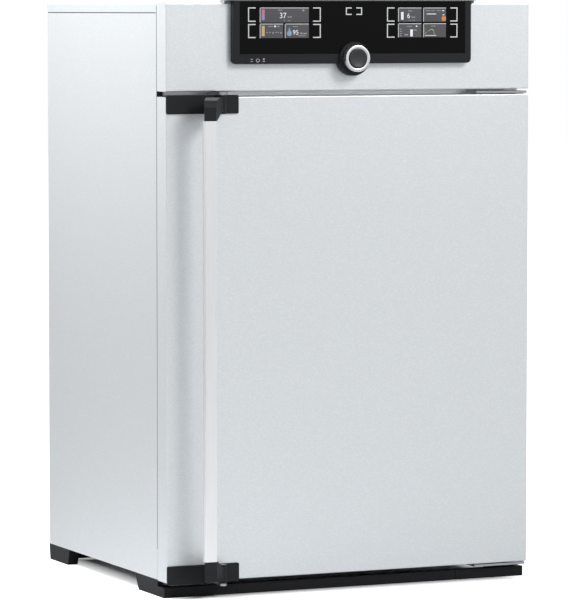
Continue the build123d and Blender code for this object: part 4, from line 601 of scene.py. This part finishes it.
WHITE_MARKS = (
    (-0.1566, -0.1530, 1.0132, 1.0160), (0.1448, 0.1638, 1.0358, 1.0372),
    (0.1762, 0.1800, 1.0416, 1.0432), (0.1770, 0.1805, 1.0340, 1.0356),
    (0.0935, 0.0985, 1.0262, 1.0400), (0.1120, 0.1170, 0.9962, 1.0086),
    (0.1232, 0.1262, 1.0132, 1.0156), (0.1415, 0.1638, 0.9972, 0.9982),
)
FAINT_MARKS = (
    (-0.1492, -0.1404, 1.0426, 1.0440), (-0.1018, -0.0976, 1.0414, 1.0446),
    (-0.1305, -0.1262, 1.0300, 1.0322), (-0.1250, -0.1225, 1.0300, 1.0330),
    (-0.1380, -0.1350, 1.0246, 1.0258), (-0.1300, -0.1240, 1.0240, 1.0250),
    (-0.1682, -0.1592, 1.0136, 1.0150), (-0.1502, -0.1462, 1.0132, 1.0156),
    (-0.1718, -0.1690, 1.0030, 1.0048), (-0.1666, -0.1638, 1.0030, 1.0048),
    (-0.1600, -0.1576, 1.0014, 1.0046), (-0.1548, -0.1520, 1.0030, 1.0048),
    (-0.1498, -0.1470, 1.0030, 1.0048), (-0.1444, -0.1420, 1.0014, 1.0046),
    (-0.1206, -0.1106, 1.0136, 1.0148), (-0.1058, -0.1012, 1.0006, 1.0036),
    (-0.1000, -0.0925, 1.0006, 1.0030), (-0.1098, -0.0948, 0.9972, 0.9984),
    (0.1078, 0.1158, 1.0410, 1.0426), (0.1142, 0.1172, 1.0292, 1.0318),
    (0.1184, 0.1216, 1.0292, 1.0318), (0.1082, 0.1134, 1.0244, 1.0256),
    (0.1160, 0.1216, 1.0244, 1.0256), (0.1422, 0.1520, 1.0418, 1.0430),
    (0.1540, 0.1610, 1.0418, 1.0430), (0.1650, 0.1730, 1.0418, 1.0430),
    (0.1050, 0.1150, 1.0136, 1.0148), (0.0910, 0.0950, 0.9965, 0.9980),
    (0.0910, 0.0950, 1.0005, 1.0020), (0.0910, 0.0950, 1.0045, 1.0060),
    (0.0910, 0.0950, 1.0085, 1.0100), (0.1004, 0.1076, 0.9978, 1.0002),
    (0.1180, 0.1250, 1.0066, 1.0084), (0.1408, 0.1414, 0.9972, 1.0120),
    (0.1535, 0.1630, 1.0140, 1.0152),
)
print_marks("white_marks", WHITE_MARKS, 2, reading_white, "cabinet")
print_marks("faint_marks", FAINT_MARKS, 2, faint_white, "cabinet")

# Coloured signs on the tiles: a heat column from red to blue, a fan speed column, a drop for the
# damp, an alarm mark and the curve of the last hours.
HEAT_TOP = (206, 112, 122)
HEAT_BOTTOM = (128, 150, 206)
HEAT_LOW = 1.0256
HEAT_HIGH = 1.0446
COLUMN_LEFT = -0.1808
COLUMN_RIGHT = -0.1749
SPEED_COLOUR = (200, 172, 124)
SPEED_LOW = 0.9974
SPEED_HIGH = 1.0156
ALARM_COLOUR = (206, 140, 84)
ALARM_MARK = (0.1752, 0.1834, 1.0240, 1.0318)
DROP_COLOUR = (138, 160, 178)
DROP_MIDDLE = (-0.1270, 1.0030)
DROP_HALF_WIDTH = 0.0050
DROP_TIP = 0.0105
DROP_BELLY = 0.0058
DROP_TAPER = 0.55
DROP_SIDES = 16
TIP_REACH = 0.9
CURVE_COLOUR = (160, 200, 130)
CURVE = (
    (0.1418, 1.0018), (0.1460, 1.0048), (0.1510, 1.0078), (0.1550, 1.0098), (0.1585, 1.0078),
    (0.1612, 1.0000),
)
CURVE_SHIFT = 0.0002
CURVE_STROKE = 0.0013
OUTLINE_START = 0.003

heat_scale = print_finish("heat_scale", HEAT_TOP, glow=0.1)
heat_nodes = heat_scale.node_tree.nodes
heat_links = heat_scale.node_tree.links
heat_level = heat_nodes.new("ShaderNodeSeparateXYZ")
heat_links.new(heat_nodes["place"].outputs["Object"], heat_level.inputs["Vector"])
heat_share = heat_nodes.new("ShaderNodeMapRange")
heat_share.inputs["From Min"].default_value = HEAT_LOW
heat_share.inputs["From Max"].default_value = HEAT_HIGH
heat_links.new(heat_level.outputs["Z"], heat_share.inputs["Value"])
heat_ramp = heat_nodes.new("ShaderNodeValToRGB")
heat_ramp.color_ramp.elements[0].color = tone(HEAT_BOTTOM)
heat_ramp.color_ramp.elements[1].color = tone(HEAT_TOP)
heat_links.new(heat_share.outputs["Result"], heat_ramp.inputs["Fac"])
heat_links.new(heat_ramp.outputs["Color"], shader_of(heat_scale).inputs["Base Color"])
heat_mark = (COLUMN_LEFT, COLUMN_RIGHT, HEAT_LOW, HEAT_HIGH)
print_marks("heat_column", [heat_mark], 2, heat_scale, "cabinet")

speed_beige = print_finish("speed_beige", SPEED_COLOUR, glow=0.1)
speed_mark = (COLUMN_LEFT, COLUMN_RIGHT, SPEED_LOW, SPEED_HIGH)
print_marks("speed_column", [speed_mark], 2, speed_beige, "cabinet")
alarm_orange = print_finish("alarm_orange", ALARM_COLOUR, glow=0.1)
print_marks("alarm_mark", [ALARM_MARK], 2, alarm_orange, "cabinet")


def print_outline(name, points, finish):
    """Flat filled mark on the tiles: a disc whose rim is moved onto the outline's points."""
    piece = start_piece(name)
    middle = [sum(p[axis] for p in points) / len(points) for axis in (0, 1)]
    place = (middle[0], pane_front - PRINT, middle[1])
    bpy.ops.mesh.primitive_circle_add(
        vertices=len(points), radius=OUTLINE_START, fill_type="NGON",
        location=place, rotation=(math.pi / 2, 0, 0),
    )
    bpy.ops.mesh.extrude_region_move(TRANSFORM_OT_translate={"value": (0, -PRINT, 0)})
    bpy.ops.object.mode_set(mode="OBJECT")
    corners = piece.data.vertices
    for index, corner in enumerate(corners):
        corner.co.x, corner.co.z = points[index % len(points)]
    bpy.ops.object.mode_set(mode="EDIT")
    bpy.ops.mesh.select_all(action="SELECT")
    bpy.ops.mesh.normals_make_consistent(inside=False)
    finish_piece(piece, finish, "cabinet", edge=PRINT / 4)


drop_points = []
for step in range(DROP_SIDES):
    angle = 2 * math.pi * step / DROP_SIDES
    taper = 1.0 if math.cos(angle) < 0 else 1 - DROP_TAPER * math.cos(angle)
    reach = DROP_TIP if math.cos(angle) > TIP_REACH else DROP_BELLY
    drop_points.append((
        DROP_MIDDLE[0] + DROP_HALF_WIDTH * math.sin(angle) * taper,
        DROP_MIDDLE[1] + reach * math.cos(angle),
    ))
drop_blue = print_finish("drop_blue", DROP_COLOUR, glow=0.15)
print_outline("damp_drop", drop_points, drop_blue)

curve_green = print_finish("curve_green", CURVE_COLOUR, glow=0.15)
curve_points = list(CURVE) + [(x - CURVE_SHIFT, z - CURVE_STROKE) for x, z in reversed(CURVE)]
print_outline("trend_curve", curve_points, curve_green)

# Touch keys: open brackets printed in white beside the displays,
# and one split pair above the knob.
KEY_COLOUR = (214, 215, 216)
KEY_STROKE = 0.0019
KEYS = (
    (-0.2070, -0.1925, 1.0228, 1.0482), (-0.2070, -0.1925, 0.9940, 1.0189),
    (-0.0655, -0.0806, 1.0228, 1.0482), (-0.0655, -0.0806, 0.9940, 1.0189),
    (0.0655, 0.0806, 1.0228, 1.0482), (0.0655, 0.0806, 0.9940, 1.0189),
    (0.2070, 0.1925, 1.0228, 1.0482), (0.2070, 0.1925, 0.9940, 1.0189),
    (-0.0160, -0.0045, 1.0348, 1.0482), (0.0160, 0.0045, 1.0348, 1.0482),
)

key_marks = []
for closed, opened, bottom, top in KEYS:
    inward = KEY_STROKE if opened > closed else -KEY_STROKE
    key_marks.append((*sorted((closed, closed + inward)), bottom, top))
    key_marks.append((*sorted((closed + inward, opened)), top - KEY_STROKE, top))
    key_marks.append((*sorted((closed + inward, opened)), bottom, bottom + KEY_STROKE))
key_white = print_finish("key_white", KEY_COLOUR, glow=0.1)
print_marks("touch_keys", key_marks, 1, key_white, "cabinet")

# Power key: its three small signs are printed in light grey, a ring with a stroke between two
# pairs of dashes.
SIGN_COLOUR = (170, 171, 172)
SIGN_HEIGHT = 0.9545
SIGN_DASHES = (
    (-0.2020, -0.1980, 0.0014, 0.0026), (-0.2020, -0.1980, -0.0024, -0.0012),
    (-0.1885, -0.1877, 0.0010, 0.0042), (-0.1782, -0.1750, 0.0006, 0.0036),
    (-0.1788, -0.1744, -0.0026, -0.0014),
)
RING_SIGN_MIDDLE = -0.1881
RING_SIGN_RADIUS = 0.0030
RING_SIGN_START = 50
RING_SIGN_SWEEP = 260
RING_SIGN_DOTS = 12
DOT_HALF = 0.0007

sign_grey = print_finish("sign_grey", SIGN_COLOUR, glow=0.1)
sign_marks = [
    (left, right, SIGN_HEIGHT + bottom, SIGN_HEIGHT + top) for left, right, bottom, top in SIGN_DASHES
]
for step in range(RING_SIGN_DOTS):
    angle = math.radians(RING_SIGN_START + step * RING_SIGN_SWEEP / (RING_SIGN_DOTS - 1))
    dot_x = RING_SIGN_MIDDLE + RING_SIGN_RADIUS * math.sin(angle)
    dot_z = SIGN_HEIGHT + RING_SIGN_RADIUS * math.cos(angle)
    sign_marks.append((dot_x - DOT_HALF, dot_x + DOT_HALF, dot_z - DOT_HALF, dot_z + DOT_HALF))
key_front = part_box("power_key")[0][1]
power_signs = start_piece("power_signs")
for left, right, bottom, top in sign_marks:
    add_block((left, key_front - PRINT, bottom), (right, key_front + PRINT_SINK, top))
finish_piece(power_signs, sign_grey, "power", edge=PRINT / 4)

# Knob: a turned aluminium ring with a fine lathe finish, round a black cap with a dished face
# that is pushed to confirm.
RING_COLOUR = (228, 229, 231)
CAP_COLOUR = (42, 43, 46)
RING_SIDES = 72
RING_BORE = 0.0178
RING_DEPTH = 0.009
CAP_RADIUS = 0.0172
CAP_THICKNESS = 0.004
CAP_FACE = 0.0135
CAP_DISH = 0.0007
FRONT_FACING = -0.9

ring_low, ring_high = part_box("selector_ring")
ring_middle = [(a + b) / 2 for a, b in zip(ring_low, ring_high)]
ring_outer = (ring_high[0] - ring_low[0]) / 2
cap_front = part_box("confirm_button")[0][1]


def turned_disc(name, radius, front, rear, face_radius, face_step):
    """Turned disc about the knob's axis, its front face stepped in or out within a smaller radius."""
    piece = start_piece(name)
    middle = (ring_middle[0], (front + rear) / 2, ring_middle[2])
    bpy.ops.mesh.primitive_cylinder_add(
        vertices=RING_SIDES, radius=radius, depth=rear - front,
        location=middle, rotation=(math.pi / 2, 0, 0),
    )
    bpy.ops.object.mode_set(mode="OBJECT")
    for face in piece.data.polygons:
        face.select = face.normal.y < FRONT_FACING
    bpy.ops.object.mode_set(mode="EDIT")
    bpy.ops.mesh.inset(thickness=radius - face_radius)
    bpy.ops.mesh.extrude_region_move(TRANSFORM_OT_translate={"value": (0, face_step, 0)})
    return piece


turned_alloy = start_finish("turned_alloy", RING_COLOUR, metallic=0.95, roughness=0.24)
lathe_marks = pattern(turned_alloy, "ShaderNodeTexNoise", (0.0008, 0.0008, 0.0008))
mottle(turned_alloy, lathe_marks, RING_COLOUR, spread=0.05)
vary_roughness(turned_alloy, lathe_marks, low=0.2, high=0.32)

knob_ring = turned_disc("knob_ring", ring_outer, ring_low[1], ring_high[1], RING_BORE, RING_DEPTH)
finish_piece(knob_ring, turned_alloy, "selector", edge=0.0012)
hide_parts("selector_ring")

cap_plastic = start_finish("cap_plastic", CAP_COLOUR, metallic=0, roughness=0.35)
cap_grain = pattern(cap_plastic, "ShaderNodeTexNoise", (0.0009, 0.0009, 0.0009))
mottle(cap_plastic, cap_grain, CAP_COLOUR, spread=0.1)
vary_roughness(cap_plastic, cap_grain, low=0.28, high=0.45)

knob_cap = turned_disc("knob_cap", CAP_RADIUS, cap_front, cap_front + CAP_THICKNESS, CAP_FACE, CAP_DISH)
finish_piece(knob_cap, cap_plastic, "confirm", edge=0.0005)
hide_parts("confirm_button")

# Handle: a bar of extruded aluminium between the two levers, satin anodised,
# with its drawing lines along its length.
BAR_COLOUR = (238, 239, 241)

bar_alloy = start_finish("bar_alloy", BAR_COLOUR, metallic=0.85, roughness=0.34)
bar_lines = pattern(bar_alloy, "ShaderNodeTexNoise", (0.0006, 0.0006, 0.08))
mottle(bar_alloy, bar_lines, BAR_COLOUR, spread=0.05)
vary_roughness(bar_alloy, bar_lines, low=0.28, high=0.4)
dress(bar_alloy, "handle_bar")

# Connections at the back: black fuse caps and mains inlet in the pocket, and four rubber buffers
# that keep the cabinet off the wall.
BUFFER_COLOUR = (30, 30, 31)

dress(cap_plastic, "fuse_holders", "mains_inlet")
rubber = start_finish("rubber", BUFFER_COLOUR, metallic=0, roughness=0.75)
rubber_bloom = pattern(rubber, "ShaderNodeTexNoise", (0.002, 0.002, 0.002))
mottle(rubber, rubber_bloom, BUFFER_COLOUR, spread=0.2)
emboss(rubber, rubber_bloom, depth=0.0001)
dress(rubber, "rear_spacers")

# Screws: zinc plated button heads with a round socket,
# along the four edges of the back panel.
SCREW_RADIUS = 0.0042
SCREW_HEIGHT = 0.0024
SCREW_SOCKET = 0.0019
SOCKET_SHARE = 0.6
SCREW_SIDES = 12
SCREW_INSET = 0.009
SCREW_SHARES = (0.02, 0.26, 0.5, 0.74, 0.98)
REAR_FACING = 0.9

back_low, back_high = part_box("back_panel")
screw_places = []
for share in SCREW_SHARES:
    height = back_low[2] + share * (back_high[2] - back_low[2])
    screw_places += [(back_low[0] + SCREW_INSET, height), (back_high[0] - SCREW_INSET, height)]
for x in (back_low[0] / 2, 0.0, back_high[0] / 2):
    screw_places += [(x, back_low[2] + SCREW_INSET), (x, back_high[2] - SCREW_INSET)]
screw_model = start_piece("back_screw_model")
bpy.ops.mesh.primitive_cylinder_add(
    vertices=SCREW_SIDES, radius=SCREW_RADIUS, depth=SCREW_HEIGHT,
    location=(0, back_high[1] + SCREW_HEIGHT / 2, 0), rotation=(math.pi / 2, 0, 0),
)
bpy.ops.object.mode_set(mode="OBJECT")
for face in screw_model.data.polygons:
    face.select = face.normal.y > REAR_FACING
bpy.ops.object.mode_set(mode="EDIT")
bpy.ops.mesh.inset(thickness=SCREW_RADIUS - SCREW_SOCKET)
bpy.ops.mesh.extrude_region_move(TRANSFORM_OT_translate={"value": (0, -SCREW_HEIGHT * SOCKET_SHARE, 0)})
bpy.ops.object.mode_set(mode="OBJECT")
for number, (x, height) in enumerate(screw_places):
    screw = bpy.data.objects.new(f"back_screw_{number}", screw_model.data.copy())
    bpy.context.scene.collection.objects.link(screw)
    for corner in screw.data.vertices:
        corner.co.x += x
        corner.co.z += height
    screw.data.materials.append(hinge_steel)
    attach(screw, "cabinet")
bpy.data.objects.remove(screw_model)
